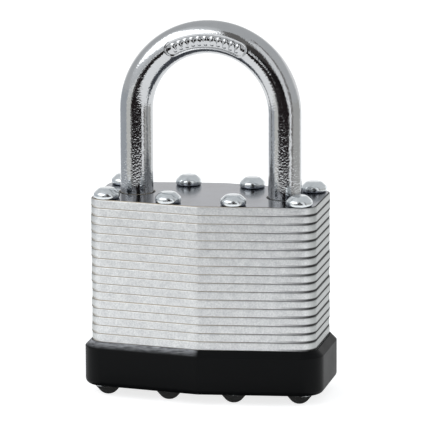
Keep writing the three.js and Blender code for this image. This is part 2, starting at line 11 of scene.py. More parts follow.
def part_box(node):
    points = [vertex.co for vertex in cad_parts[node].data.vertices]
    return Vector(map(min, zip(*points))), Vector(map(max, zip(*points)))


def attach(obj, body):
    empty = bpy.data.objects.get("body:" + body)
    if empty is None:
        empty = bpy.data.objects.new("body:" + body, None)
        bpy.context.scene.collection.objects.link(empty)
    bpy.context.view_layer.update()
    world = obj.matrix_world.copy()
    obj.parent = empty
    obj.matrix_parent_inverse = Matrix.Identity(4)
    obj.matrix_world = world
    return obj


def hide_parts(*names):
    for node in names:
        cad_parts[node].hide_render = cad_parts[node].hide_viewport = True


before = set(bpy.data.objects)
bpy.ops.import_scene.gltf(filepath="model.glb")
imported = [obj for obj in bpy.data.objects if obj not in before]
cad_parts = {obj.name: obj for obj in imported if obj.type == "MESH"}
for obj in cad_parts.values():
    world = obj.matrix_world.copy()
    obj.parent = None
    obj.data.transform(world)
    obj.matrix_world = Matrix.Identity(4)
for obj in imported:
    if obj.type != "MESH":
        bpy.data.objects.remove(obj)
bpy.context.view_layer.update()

# ----------
# Camera, lights and floor
# A long lens looks down a little from the right of the front ridge. The padlock stands on a pale light
# table in a grey room with a white backdrop, lit by two softboxes, and mirrors the dark stand of the lens.
MM = 0.001
scene = bpy.context.scene

VIEW_AZIMUTH = math.radians(12.9)
VIEW_ELEVATION = math.radians(11.9)
VIEW_ROLL = math.radians(-0.26)
VIEW_DISTANCE = 680 * MM
VIEW_AIM = Vector((0.12, 0.42, 32.07)) * MM
LENS = 328.5
SENSOR = 36


def direction(azimuth, elevation):
    """A unit vector from the padlock towards a place in the room. Azimuth 0 is straight in front of it."""
    level = math.cos(elevation)
    return Vector((math.sin(azimuth) * level, -math.cos(azimuth) * level, math.sin(elevation)))


def aimed(thing, place, target):
    """Puts a camera, light or card at a place, with its -Z axis towards the target."""
    thing.location = place
    thing.rotation_mode = "QUATERNION"
    thing.rotation_quaternion = (target - place).to_track_quat("-Z", "Y")
    scene.collection.objects.link(thing)


lens = bpy.data.cameras.new("portrait_lens")
lens.sensor_width = SENSOR
lens.lens = LENS
lens.clip_start = 10 * MM
lens.clip_end = 20
camera = bpy.data.objects.new("camera", lens)
aimed(camera, VIEW_AIM + direction(VIEW_AZIMUTH, VIEW_ELEVATION) * VIEW_DISTANCE, VIEW_AIM)
camera.rotation_quaternion @= Matrix.Rotation(VIEW_ROLL, 3, "Z").to_quaternion()
scene.camera = camera
scene.view_settings.view_transform = "Standard"


def srgb(colour):
    """An sRGB hex colour as the linear colour that a shader takes."""
    steps = [int(colour[i : i + 2], 16) / 255 for i in (1, 3, 5)]
    linear = [s / 12.92 if s <= 0.04045 else ((s + 0.055) / 1.055) ** 2.4 for s in steps]
    return (*linear, 1.0)


def fill(node, inputs):
    """Sets a node's inputs to values or links them to outputs. A node stands for its first live output."""
    for name, value in inputs.items():
        if isinstance(value, bpy.types.Node):
            value = next(output for output in value.outputs if output.enabled)
        if isinstance(value, bpy.types.NodeSocket):
            node.id_data.links.new(value, node.inputs[name])
        else:
            node.inputs[name].default_value = value
    return node


def add(tree, kind, inputs=None, **settings):
    """Adds one node, sets its options, and fills its inputs with values or with other nodes."""
    made = tree.nodes.new("ShaderNode" + kind)
    for name, value in settings.items():
        setattr(made, name, value)
    return fill(made, inputs or {})


# A grey room with a white backdrop behind the padlock, low down where the light table ends.
ROOM_GREY = srgb("#c9cbcd")
BACKDROP_WHITE = srgb("#ffffff")
BACKDROP_GLOW = 1.08
BACKDROP_SIDES = (0.5, 0.8)  # a direction's Y where the backdrop starts, and where it is full
BACKDROP_TOP = (0.42, 0.26)  # a direction's Z where it has ended, and where it is still full
SOFTBOX_WAY = (math.radians(-45), math.radians(37))
HALO_START = math.radians(20)  # the wall round the left softbox catches its light, ever less outwards
HALO_END = math.radians(44)
HALO_GLOW = 0.5
room = bpy.data.worlds.new("grey_room")
room.use_nodes = True
scene.world = room
sky = room.node_tree
sky_way = add(sky, "TexCoord").outputs["Generated"]
sky_part = add(sky, "SeparateXYZ", {"Vector": sky_way})
behind, low_down = [
    add(
        sky,
        "MapRange",
        {"Value": sky_part.outputs[axis], "From Min": start, "From Max": full},
        interpolation_type="SMOOTHSTEP",
    )
    for axis, (start, full) in (("Y", BACKDROP_SIDES), ("Z", BACKDROP_TOP))
]
backdrop = add(sky, "Math", {0: behind, 1: low_down}, operation="MULTIPLY")
sky_colour = add(sky, "Mix", {0: backdrop, 6: ROOM_GREY, 7: BACKDROP_WHITE}, data_type="RGBA")
softbox_way = {0: sky_way, 1: direction(*SOFTBOX_WAY)}
towards_softbox = add(sky, "VectorMath", softbox_way, operation="DOT_PRODUCT")
halo_span = {"From Min": math.cos(HALO_END), "From Max": math.cos(HALO_START)}
halo_glow = {"To Min": BACKDROP_GLOW, "To Max": BACKDROP_GLOW + HALO_GLOW}
halo_look = {"Value": towards_softbox, **halo_span, **halo_glow}
halo = add(sky, "MapRange", halo_look, interpolation_type="SMOOTHSTEP")
fill(sky.nodes["Background"], {"Strength": halo, "Color": sky_colour})

ROOM_CENTRE = Vector((0, 0, 45)) * MM


def softbox(name, way, distance, width, height, glow):
    """A rectangular softbox that faces the padlock. Its glow is the brightness that a mirror sees."""
    light = bpy.data.lights.new(name, "AREA")
    light.shape = "RECTANGLE"
    light.size = width
    light.size_y = height
    light.energy = glow * math.pi * width * height
    box = bpy.data.objects.new(name, light)
    box.visible_camera = False
    aimed(box, ROOM_CENTRE + direction(*way) * distance, ROOM_CENTRE)


def screen(name, from_azimuth, to_azimuth, bottom, top, colour):
    """A curved card round the padlock, between two directions in degrees, that only shows in reflections."""
    mesh = bpy.data.meshes.new(name)
    count = SCREEN_STEPS
    turns = [math.radians(from_azimuth + (to_azimuth - from_azimuth) * i / count) for i in range(count + 1)]
    edge = [direction(turn, 0) * SCREEN_RADIUS for turn in turns]
    points = [(p.x, p.y, z * MM) for z in (bottom, top) for p in edge]
    mesh.from_pydata(points, [], [(i, i + 1, i + count + 2, i + count + 1) for i in range(count)])
    reflected_only(name, mesh, colour)


def reflected_only(name, mesh, colour):
    """A stage piece of a plain brightness that the camera doesn't see and that casts no shadow."""
    paper = bpy.data.materials.new(name)
    paper.use_nodes = True
    paper_look = {"Base Color": srgb("#000000"), "Specular IOR Level": 0.0}
    paper_glow = {"Emission Color": srgb(colour), "Emission Strength": 1.0}
    fill(paper.node_tree.nodes["Principled BSDF"], {**paper_look, **paper_glow})
    mesh.materials.append(paper)
    made = bpy.data.objects.new(name, mesh)
    scene.collection.objects.link(made)
    made.visible_camera = False
    made.visible_diffuse = False
    made.visible_shadow = False


# Screens stand round the table's edge: grey walls, and the dark stand and boom that carry the lens.
SCREEN_RADIUS = 150 * MM
SCREEN_STEPS = 12
softbox("left_softbox", SOFTBOX_WAY, 0.9, 0.9, 0.67, 1.5)
softbox("right_strip", (math.radians(44), math.radians(24)), 0.9, 0.32, 1.0, 0.35)
screen("wall_left", -130, -62, 3, 54, "#bfc4ca")
screen("wall_front_left", -62, -24, 3, 44, "#e6e6e2")
screen("lens_stand_foot", -31, 46, 4, 48, "#262122")
screen("lens_stand_column", 2, 37, 48, 88, "#1d1b1c")
screen("lens_body", 0, 30, 88, 150, "#4a4746")
screen("lens_boom", -2, 27, 150, 340, "#7d7b79")
screen("gap_right", 60, 71, 3, 330, "#918e8c")
screen("wall_right", 71, 134, 3, 54, "#c6c6c4")

# A dark card that only shows in reflections lies under the padlock: a painted shadow for the shade under the
# stack, so that the lower rivet heads don't glow.
SHADOW_CARD = ((-22, -19), (22, -19), (22, 13), (-22, 13))
SHADOW_CARD_HEIGHT = 0.03
shadow_card_mesh = bpy.data.meshes.new("painted_contact_shadow")
shadow_card_mesh.from_pydata([(x * MM, y * MM, SHADOW_CARD_HEIGHT * MM) for x, y in SHADOW_CARD], [], [(0, 1, 2, 3)])
reflected_only("painted_contact_shadow", shadow_card_mesh, "#232221")

# Light table: opal acrylic, lit from below so that it stays white under the padlock.
TABLE_HALF = 1.5
TABLE_GLOW = 0.78
table_mesh = bpy.data.meshes.new("light_table")
table_corners = [(x * TABLE_HALF, y * TABLE_HALF, 0) for x, y in ((-1, -1), (1, -1), (1, 1), (-1, 1))]
table_mesh.from_pydata(table_corners, [], [(0, 1, 2, 3)])
opal = bpy.data.materials.new("opal_acrylic")
opal.use_nodes = True
opal_look = {"Base Color": srgb("#b9babb"), "Roughness": 0.8, "Specular IOR Level": 0.0}
opal_glow = {"Emission Color": srgb("#ffffff"), "Emission Strength": TABLE_GLOW}
fill(opal.node_tree.nodes["Principled BSDF"], {**opal_look, **opal_glow})
table_mesh.materials.append(opal)
light_table = bpy.data.objects.new("light_table", table_mesh)
scene.collection.objects.link(light_table)

# ----------
# Laminated plates
# Twenty-one blanks of 1.5 mm steel strip, punched out with rolled top edges and zinc plated, are
# stacked on the rivets. Each is punched for what runs through it at its level and sits a hair out of line.


def span(node):
    """Lowest and highest corner of a frame node, in millimetres."""
    low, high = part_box(node)
    return low / MM, high / MM


PLATE_COUNT = 21
END_DEPTH = 16.15  # front to back at the two flat ends
CORNER_RADIUS = 2.8
CORNER_STEPS = 10
PLATE_ROLL = 0.26  # rounded upper edge, where the punch entered
PLATE_BREAK = 0.07  # softened lower edge
EDGE_STEPS = 4
HOLE_BREAK = 0.1
RIDGE_SOFT = 0.22  # half the width over which the two facets blend at the ridge
STACK_WANDER = 0.06  # how far a plate's outline may sit off its neighbours
plate_low, plate_high = span("plate_01")
PLATE_THICKNESS = plate_high.z - plate_low.z
HALF_WIDTH = plate_high.x
RIDGE_Y = plate_high.y
STACK_TOP = span("plate_21")[1].z
FACET_SLOPE = math.atan((RIDGE_Y - END_DEPTH / 2) / HALF_WIDTH)


def arc(centre, radius, start, end, steps):
    """Points along a round stretch of an outline, from one angle in degrees to another."""
    angles = [math.radians(start + (end - start) * i / steps) for i in range(steps + 1)]
    return [(centre[0] + radius * math.cos(a), centre[1] + radius * math.sin(a)) for a in angles]


def circle(centre, radius, steps=64):
    return arc(centre, radius, 0, 360, steps)[:-1]


def body_outline(offset, shift=(0, 0)):
    """The body's long hexagon, moved outwards by an offset: two facets meet at each middle ridge."""
    end_x = HALF_WIDTH + offset
    ridge_y = RIDGE_Y + offset / math.cos(FACET_SLOPE)
    radius = CORNER_RADIUS + offset
    turn = math.pi / 2 - FACET_SLOPE
    corner_y = ridge_y - end_x * math.tan(FACET_SLOPE)
    centre = (end_x - radius, corner_y - radius * math.tan(turn / 2))
    corner = arc(centre, radius, 0, math.degrees(turn), CORNER_STEPS)
    right = [(x, -y) for x, y in reversed(corner)] + corner
    side_y = ridge_y - RIDGE_SOFT * math.tan(FACET_SLOPE)
    half = right + [(RIDGE_SOFT, side_y), (0, ridge_y), (-RIDGE_SOFT, side_y)]
    points = half + [(-x, -y) for x, y in half]
    return [(x + shift[0], y + shift[1]) for x, y in points]


def widened(outline, distance):
    """An outline with each side moved outwards by a distance, its corners mitred."""
    moved = []
    count = len(outline)
    for i, here in enumerate(outline):
        before = Vector(here) - Vector(outline[i - 1])
        after = Vector(outline[(i + 1) % count]) - Vector(here)
        out_before = Vector((before.y, -before.x)).normalized()
        out_after = Vector((after.y, -after.x)).normalized()
        middle = out_before + out_after
        moved.append(tuple(Vector(here) + middle * (2 * distance / middle.length_squared)))
    return moved


class Shape:
    """A closed skin in millimetres, gathered ring by ring. Each face has the number of its finish."""

    def __init__(self):
        self.points = []
        self.faces = []
        self.finishes = []

    def ring(self, points):
        start = len(self.points)
        self.points.extend(points)
        return list(range(start, start + len(points)))

    def level(self, outline, height):
        return self.ring([(x, y, height) for x, y in outline])

    def face(self, corners, finish=0):
        self.faces.append(tuple(corners))
        self.finishes.append(finish)

    def wall(self, rings, finish=0):
        """Joins rings that follow each other. Seen from the last ring, they run anticlockwise."""
        for low, high in zip(rings, rings[1:]):
            for i in range(len(low)):
                j = (i + 1) % len(low)
                self.face((low[i], low[j], high[j], high[i]), finish)

    def lid(self, outer, holes, up, finish=0):
        """A flat face inside a level ring, with holes."""
        loops = [outer, *holes]
        flat = [i for loop in loops for i in loop]
        for corners in tessellate_polygon([[Vector(self.points[i]) for i in loop] for loop in loops]):
            a, b, c = (flat[i] for i in corners)
            pa, pb, pc = (Vector(self.points[i]) for i in (a, b, c))
            faces_up = (pb - pa).cross(pc - pa).z > 0
            self.face((a, b, c) if faces_up == up else (a, c, b), finish)

    def fan(self, rim, pole, outwards, finish=0):
        """Closes a rim with triangles to one point. Outwards says whether the rim runs anticlockwise."""
        tip = self.ring([pole])[0]
        for i in range(len(rim)):
            j = (i + 1) % len(rim)
            self.face((rim[i], rim[j], tip) if outwards else (rim[j], rim[i], tip), finish)

    def moved(self, matrix):
        self.points = [tuple(matrix @ Vector(point)) for point in self.points]
        return self


def as_mesh(name, shape, *finishes):
    mesh = bpy.data.meshes.new(name)
    mesh.from_pydata([[c * MM for c in point] for point in shape.points], [], shape.faces)
    for one in finishes:
        mesh.materials.append(one)
    mesh.polygons.foreach_set("material_index", shape.finishes)
    return mesh


SHARP_ANGLE = math.radians(38)  # edges that turn more than this stay crisp


def place_piece(mesh, node, body):
    """A finished piece that stands for its frame node, rides on its body and names its finish."""
    mesh.shade_smooth()
    mesh.set_sharp_from_angle(angle=SHARP_ANGLE)
    made = bpy.data.objects.new(mesh.name, mesh)
    scene.collection.objects.link(made)
    normals = made.modifiers.new("flat_faces_stay_flat", "WEIGHTED_NORMAL")
    normals.keep_sharp = True
    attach(made, body)
    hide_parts(node)
    for finish_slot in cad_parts[node].material_slots:
        finish_slot.material = mesh.materials[0]


def finish(name, metallic, **constants):
    """A new material: its node tree, its shader, and the padlock's own coordinates for patterns."""
    made = bpy.data.materials.new(name)
    made.use_nodes = True
    tree = made.node_tree
    shader = fill(tree.nodes["Principled BSDF"], {"Metallic": metallic, **constants})
    return made, tree, shader, add(tree, "TexCoord").outputs["Object"]


def per_metre(size_mm):
    """The pattern scale that gives features of a real size in millimetres."""
    return 1 / (size_mm * MM)


def mottled(shader, place, size_mm, detail, tones, roughness=None):
    """Lets the tone, and the roughness where it has a range, drift with a noise, which is given back."""
    tree = shader.id_data
    noise = add(tree, "TexNoise", {"Vector": place, "Scale": per_metre(size_mm), "Detail": detail})
    first, last = map(srgb, tones)
    drift = add(tree, "Mix", {0: noise, 6: first, 7: last}, data_type="RGBA")
    fill(shader, {"Base Color": drift})
    if roughness:
        least, most = roughness
        matting = add(tree, "MapRange", {"Value": noise, "To Min": least, "To Max": most})
        fill(shader, {"Roughness": matting})
    return noise


# Zinc-plated sheared steel, on the plates' edges: bright and matt, with a fine mottled grain, a dull
# torn band under the rolled edge, and brown dirt in the grooves between the plates. Towards the right
# and at both ends the grooves are painted black and wider, as painted shade; the ends are painted darker
# too, as painted shade and handling wear.
EDGE_GRAIN = 0.28  # the coarser end of the real grain, so that it shows
EDGE_BLOTCH = 1.4
EDGE_METALLIC = 0.72  # the plating's dull skin is only partly a mirror
TORN_DEPTH = 0.032 * MM
TORN_MIDDLE = 0.3 * MM  # half the width over which the smoother left turns into the rougher right
GROOVE_ROUGHNESS = 0.9
FLANK = (18.7 * MM, 20.0 * MM)  # where the ends' painted shade and handling wear start and are full
LEFT_END = (-18.2 * MM, -20.3 * MM)  # the same for the grooves' black painted shade at each end
RIGHT_END = (13 * MM, 19.3 * MM)
RIGHT_SHADE = (-2 * MM, 15 * MM)  # where the grooves turn from brown dirt to black painted shade
sheared_zinc, tree, shader, place = finish("sheared_zinc_plated_steel", EDGE_METALLIC)
grain = add(tree, "TexNoise", {"Vector": place, "Scale": per_metre(EDGE_GRAIN), "Detail": 2.5})
blotch = add(tree, "TexNoise", {"Vector": place, "Scale": per_metre(EDGE_BLOTCH), "Detail": 3.0})
spot = add(tree, "SeparateXYZ", {"Vector": place})
across = spot.outputs["X"]
up_stack = add(tree, "Math", {0: spot.outputs["Z"], 1: plate_low.z * MM}, operation="SUBTRACT")
turns = add(tree, "Math", {0: up_stack, 1: PLATE_THICKNESS * MM}, operation="DIVIDE")
share = add(tree, "Math", {0: turns}, operation="FRACT")  # runs from 0 to 1 up each plate
low_rim = add(tree, "MapRange", {"Value": share, "From Min": 0.07, "From Max": 0.0})
top_rim = add(tree, "MapRange", {"Value": share, "From Min": 0.9, "From Max": 0.99})
rim = add(tree, "Math", {0: low_rim, 1: top_rim}, operation="MAXIMUM")
grain_share = add(tree, "MapRange", {"Value": grain, "From Min": 0.32, "From Max": 0.68})
blotch_share = add(tree, "MapRange", {"Value": blotch, "From Min": 0.36, "From Max": 0.64})
pale_tones = {0: grain_share, 6: srgb("#c9cbcc"), 7: srgb("#e1e2e2")}
dull_tones = {0: grain_share, 6: srgb("#bfc1c3"), 7: srgb("#d6d7d7")}
pale = add(tree, "Mix", pale_tones, data_type="RGBA")
dull = add(tree, "Mix", dull_tones, data_type="RGBA")
toned = add(tree, "Mix", {0: blotch_share, 6: pale, 7: dull}, data_type="RGBA")
# Painted shade and handling wear: both ends of the plates' edges are painted a darker grey.
to_end = add(tree, "Math", {0: across}, operation="ABSOLUTE")
flank = add(tree, "MapRange", {"Value": to_end, "From Min": FLANK[0], "From Max": FLANK[1]})
ends_shade_and_wear = add(tree, "Mix", {0: flank, 6: toned, 7: srgb("#a5a8a7")}, data_type="RGBA")
# Painted shade: towards the right and at both ends the grooves' brown dirt is painted black, and at the ends
# the dark grooves are painted wider.
right_shade, right_end, left_end = [
    add(tree, "MapRange", {"Value": across, "From Min": start, "From Max": full})
    for start, full in (RIGHT_SHADE, RIGHT_END, LEFT_END)
]
corner = add(tree, "Math", {0: right_end, 1: left_end}, operation="MAXIMUM")
groove_shade_share = add(tree, "Math", {0: corner, 1: right_shade}, operation="MAXIMUM")
dirt_shade_tones = {0: groove_shade_share, 6: srgb("#b3a48c"), 7: srgb("#201f1f")}
brown_dirt_black_shade = add(tree, "Mix", dirt_shade_tones, data_type="RGBA")
wide_groove = add(tree, "MapRange", {"Value": share, "From Min": 0.28, "From Max": 0.18})
end_groove = add(tree, "Math", {0: wide_groove, 1: corner}, operation="MULTIPLY")
groove_mask_dirt_shade = add(tree, "Math", {0: rim, 1: end_groove}, operation="MAXIMUM")
edge_with_dirt_and_shade = add(tree, "Mix", {0: groove_mask_dirt_shade, 6: ends_shade_and_wear, 7: brown_dirt_black_shade}, data_type="RGBA")
matt = add(tree, "MapRange", {"Value": grain_share, "To Min": 0.36, "To Max": 0.43})
dry = add(tree, "Mix", {0: groove_mask_dirt_shade, 2: matt, 3: GROOVE_ROUGHNESS}, data_type="FLOAT")
bare = add(tree, "MapRange", {"Value": groove_mask_dirt_shade, "To Min": EDGE_METALLIC, "To Max": 0.0})
# The die is more worn on the right, where it tears the edges a little rougher.
torn_span = {"From Min": -TORN_MIDDLE, "From Max": TORN_MIDDLE, "To Min": 0.2, "To Max": 0.9}
torn = add(tree, "MapRange", {"Value": across, **torn_span})
pitted = add(tree, "Bump", {"Height": grain, "Strength": torn, "Distance": TORN_DEPTH})
fill(shader, {"Base Color": edge_with_dirt_and_shade, "Roughness": dry, "Metallic": bare, "Normal": pitted})

# Zinc-plated rolled strip, on the plates' flat faces: blue-grey and nearly a mirror, with soft
# smudges and a slight waviness from rolling.
rolled_zinc, tree, shader, place = finish("rolled_zinc_plated_strip", 1.0)
mottled(shader, place, 3.0, 5.0, ("#626874", "#757578"), (0.1, 0.24))
wave = add(tree, "TexNoise", {"Vector": place, "Scale": per_metre(1.2), "Detail": 2.0})
ripple = add(tree, "Bump", {"Height": wave, "Strength": 0.2, "Distance": 0.03 * MM})
fill(shader, {"Normal": ripple})

RIVETS = [f"rivet_{side}_{column}" for side in ("front", "rear") for column in (1, 2, 3, 4)]
RIVET_HOLE_RADIUS = 1.4
RIVET_HOLE_STEPS = 32
rivet_axes = {node: (sum(span(node), Vector()) / 2).to_2d() for node in RIVETS}

shackle_low, shackle_high = span("shackle")
LEG_RADIUS = shackle_high.y
LEG_X = shackle_high.x - LEG_RADIUS
LEG_FIT = 0.25
LEG_HOLE_RADIUS = LEG_RADIUS + LEG_FIT
TOE_BOTTOM = 24.3
plug_low, plug_high = span("plug")
PLUG_Y = (plug_low.y + plug_high.y) / 2
NOSE_HOLE_RADIUS = 4.5
CLIP_HOLE_RADIUS = 4.1
POCKET_RADIUS = 6.1
POCKET_HALF_RIB = 3.3
POCKET_FRONT = -9.1
WELL_X = 8.98
WELL_Y = 5.88
CHANNEL_Y = 2.55
pin_low, pin_high = span("shackle_stop_pin")
PIN_FIT = 0.1
POCKET_STEPS = 72


def leg_hole(side):
    return circle((side * LEG_X, 0), LEG_HOLE_RADIUS)


def barrel_outline(radius, half_rib, front):
    """A round barrel with a straight-sided rib in front of it for the pins."""
    bay = math.degrees(math.asin(half_rib / radius))
    barrel = arc((0, PLUG_Y), radius, bay - 90, 270 - bay, POCKET_STEPS)
    return barrel + [(-half_rib, front), (half_rib, front)]


def lever_pocket():
    """The well for both levers, with a channel on each side that opens into the leg's hole."""
    mouth = math.degrees(math.asin(CHANNEL_Y / LEG_HOLE_RADIUS))
    right_leg = arc((LEG_X, 0), LEG_HOLE_RADIUS, mouth - 180, 180 - mouth, POCKET_STEPS)
    right = [(WELL_X, -WELL_Y), (WELL_X, -CHANNEL_Y), *right_leg, (WELL_X, CHANNEL_Y), (WELL_X, WELL_Y)]
    return right + [(-x, -y) for x, y in right]


def stop_pin_pocket():
    """The heel's hole, with the slot for the stop pin across its inner side."""
    near = pin_low.x - PIN_FIT
    mouth = math.degrees(math.acos((near + LEG_X) / LEG_HOLE_RADIUS))
    leg = arc((-LEG_X, 0), LEG_HOLE_RADIUS, mouth, 360 - mouth, POCKET_STEPS)
    far = pin_high.x + PIN_FIT
    end = pin_high.y + PIN_FIT
    return leg + [(near, -end), (far, -end), (far, end), (near, end)]


CYLINDER_TOP_PLATE = 15  # counted from the bottom: the cylinder and the stop pin end in this plate
TOE_PLATE = 14  # the lowest plate that the toe reaches
CLIP_PLATE = 16
LEVER_PLATES = (17, 18)


def plate_holes(number):
    """Outlines of what is punched out of one plate, counted from the bottom of the stack."""
    holes = [circle(axis, RIVET_HOLE_RADIUS, RIVET_HOLE_STEPS) for axis in rivet_axes.values()]
    if number == 1:
        return holes + [circle((0, PLUG_Y), NOSE_HOLE_RADIUS)]
    if number in LEVER_PLATES:
        return holes + [lever_pocket()]
    holes.append(stop_pin_pocket() if number == CYLINDER_TOP_PLATE else leg_hole(-1))
    if number >= TOE_PLATE:
        holes.append(leg_hole(1))
    if number <= CYLINDER_TOP_PLATE:
        holes.append(barrel_outline(POCKET_RADIUS, POCKET_HALF_RIB, POCKET_FRONT))
    if number == CLIP_PLATE:
        holes.append(circle((0, PLUG_Y), CLIP_HOLE_RADIUS))
    return holes


def plate_shape(number, bottom, top, shift):
    """One plate. Its outline is level by level an offset outwards at a height."""
    shape = Shape()
    lower = arc((-PLATE_BREAK, bottom + PLATE_BREAK), PLATE_BREAK, -90, 0, EDGE_STEPS)
    upper = arc((-PLATE_ROLL, top - PLATE_ROLL), PLATE_ROLL, 0, 90, EDGE_STEPS)
    rings = [shape.level(body_outline(offset, shift), height) for offset, height in lower + upper]
    shape.wall(rings, finish=1)
    tops = []
    bottoms = []
    for outline in plate_holes(number):
        lip = shape.level(widened(outline, HOLE_BREAK), top)
        edge = shape.level(outline, top - HOLE_BREAK)
        foot = shape.level(outline, bottom)
        shape.wall([lip, edge, foot], finish=1)
        tops.append(lip)
        bottoms.append(foot)
    shape.lid(rings[-1], tops, up=True)
    shape.lid(rings[0], bottoms, up=False)
    return shape


stacker = random.Random(21)
for number in range(1, PLATE_COUNT + 1):
    node = f"plate_{number:02d}"
    low, high = span(node)
    shift = [stacker.uniform(-STACK_WANDER, STACK_WANDER) for axis in "xy"]
    shape = plate_shape(number, low.z, high.z, shift)
    place_piece(as_mesh(f"steel_{node}", shape, rolled_zinc, sheared_zinc), node, "lock_body")

# ----------
# Bumper
# A cup injection moulded in black polypropylene, clamped by the rivets under the lowest plate. Its
# shoulder slopes in to the plates, and its floor has a round opening for the key.
BUMPER_WALL = 1.2699
CAVITY_GAP = 0.1
SHOULDER_LAND = 0.3
LAND_BREAK = 0.05
SHOULDER_DROP = 1.0
FOOT_ROUND = 0.95
SHOULDER_ROUND = 0.12
KEY_OPENING_RADIUS = 5.3
KEY_OPENING_ROUND = 0.3
ROUND_STEPS = 96
bumper_low, bumper_high = span("bumper")
BUMPER_TOP = bumper_high.z

# Moulded black polypropylene: a soft satin black with a faint grain. The left half of the front shoulder
# carries a painted highlight, the left softbox's reflection painted in grey, broken up by the streaks of
# real scuffs where the shoulder rubs on keys and gates.
BLACK_SPECULAR = {"IOR": 1.49, "Specular IOR Level": 0.08}
PAINTED_SHEEN_LOW = (BUMPER_TOP - SHOULDER_DROP) * MM
PAINTED_SHEEN_TOP = (BUMPER_TOP - 0.1) * MM  # the painted highlight is full from just below the shoulder's upper edge
PAINTED_SHEEN_SIDE = (0.2 * MM, -0.9 * MM)  # only the left half of the front shoulder carries the painted highlight and scuffs
PAINTED_SHEEN_FRONT = -7 * MM
moulded_black, tree, shader, place = finish("moulded_black_polypropylene", 0.0, **BLACK_SPECULAR)
skin_grain = add(tree, "TexNoise", {"Vector": place, "Scale": per_metre(0.35), "Detail": 3.0})
cloud = add(tree, "TexNoise", {"Vector": place, "Scale": per_metre(5.0), "Detail": 4.0})
scratch_way = add(tree, "Mapping", {"Vector": place, "Scale": (0.35, 1.0, 2.0)})
scratch = add(tree, "TexNoise", {"Vector": scratch_way, "Scale": per_metre(0.55), "Detail": 4.0})
spot = add(tree, "SeparateXYZ", {"Vector": place})
up, right, back = (spot.outputs[axis] for axis in "ZXY")
on_shoulder = add(tree, "MapRange", {"Value": up, "From Min": PAINTED_SHEEN_LOW, "From Max": PAINTED_SHEEN_TOP})
side_span = {"From Min": PAINTED_SHEEN_SIDE[0], "From Max": PAINTED_SHEEN_SIDE[1]}
to_left = add(tree, "MapRange", {"Value": right, **side_span})
to_front = add(tree, "MapRange", {"Value": back, "From Min": 0, "From Max": PAINTED_SHEEN_FRONT})
worn = add(tree, "MapRange", {"Value": scratch, "From Min": 0.15, "From Max": 0.75})
front_left = add(tree, "Math", {0: to_front, 1: to_left}, operation="MULTIPLY")
painted_sheen_area = add(tree, "Math", {0: on_shoulder, 1: front_left}, operation="MULTIPLY")
sheen_and_scuffs = add(tree, "Math", {0: painted_sheen_area, 1: worn}, operation="MULTIPLY")
black = add(tree, "Mix", {0: cloud, 6: srgb("#060708"), 7: srgb("#0c0d0e")}, data_type="RGBA")
# Painted highlight: on the left half of the front shoulder the black is painted grey, in scuff streaks, for
# the softbox's reflection.
black_with_painted_sheen = add(tree, "Mix", {0: sheen_and_scuffs, 6: black, 7: srgb("#a4a6aa")}, data_type="RGBA")
satin = add(tree, "MapRange", {"Value": cloud, "To Min": 0.34, "To Max": 0.5})
grained = add(tree, "Bump", {"Height": skin_grain, "Strength": 0.25, "Distance": 0.02 * MM})
fill(shader, {"Base Color": black_with_painted_sheen, "Roughness": satin, "Normal": grained})

cup = Shape()
foot = arc((BUMPER_WALL - FOOT_ROUND, bumper_low.z + FOOT_ROUND), FOOT_ROUND, -90, 0, steps=8)
brow_z = BUMPER_TOP - SHOULDER_DROP - SHOULDER_ROUND
brow = arc((BUMPER_WALL - SHOULDER_ROUND, brow_z), SHOULDER_ROUND, 0, 45, steps=3)
land = [(SHOULDER_LAND, BUMPER_TOP - LAND_BREAK), (SHOULDER_LAND - LAND_BREAK, BUMPER_TOP)]
cavity = [(CAVITY_GAP, BUMPER_TOP), (CAVITY_GAP, plate_low.z)]
cup_rings = [cup.level(body_outline(offset), height) for offset, height in foot + brow + land + cavity]
cup.wall(cup_rings)
opening_foot = arc((0, bumper_low.z + KEY_OPENING_ROUND), KEY_OPENING_ROUND, 0, -90, EDGE_STEPS)
opening = [(KEY_OPENING_RADIUS, plate_low.z)]
opening += [(KEY_OPENING_RADIUS + KEY_OPENING_ROUND - out, height) for out, height in opening_foot]
cup_holes = [[cup.level(circle((0, PLUG_Y), radius, ROUND_STEPS), height) for radius, height in opening]]
for axis in rivet_axes.values():
    hole = circle(axis, RIVET_HOLE_RADIUS, RIVET_HOLE_STEPS)
    cup_holes.append([cup.level(hole, plate_low.z), cup.level(hole, bumper_low.z)])
for rings in cup_holes:
    cup.wall(rings)
cup.lid(cup_rings[-1], [rings[0] for rings in cup_holes], up=True)
cup.lid(cup_rings[0], [rings[-1] for rings in cup_holes], up=False)
place_piece(as_mesh("moulded_bumper", cup, moulded_black), "bumper", "lock_body")

# ----------
# Cylinder housing
# A die-cast zinc barrel that drops into the stack's pocket, with a rib in front that is drilled for
# the four pin chambers. A thin brass strip slides over the chambers' outer ends and closes them.


def turned(profile, centre=(0, 0), steps=64):
    """A lathe-turned shape round a vertical axis. Its radii and heights run up from axis to axis."""
    shape = Shape()
    rings = [shape.level(circle(centre, radius, steps), height) for radius, height in profile[1:-1]]
    shape.wall(rings)
    shape.fan(rings[0], (*centre, profile[0][1]), outwards=False)
    shape.fan(rings[-1], (*centre, profile[-1][1]), outwards=True)
    return shape


def drum(radius, bottom, top, edge, centre=(0, 0), steps=64):
    """A short round bar with softened rims."""
    profile = [(0, bottom), (radius - edge, bottom), (radius, bottom + edge)]
    profile += [(radius, top - edge), (radius - edge, top), (0, top)]
    return turned(profile, centre, steps)


def extruded(outline, bottom, top, edge):
    """A flat piece of an outline, with its upper and lower edges softened."""
    shape = Shape()
    inner = widened(outline, -edge)
    levels = [(inner, bottom), (outline, bottom + edge), (outline, top - edge), (inner, top)]
    rings = [shape.level(points, height) for points, height in levels]
    shape.wall(rings)
    shape.lid(rings[-1], [], up=True)
    shape.lid(rings[0], [], up=False)
    return shape


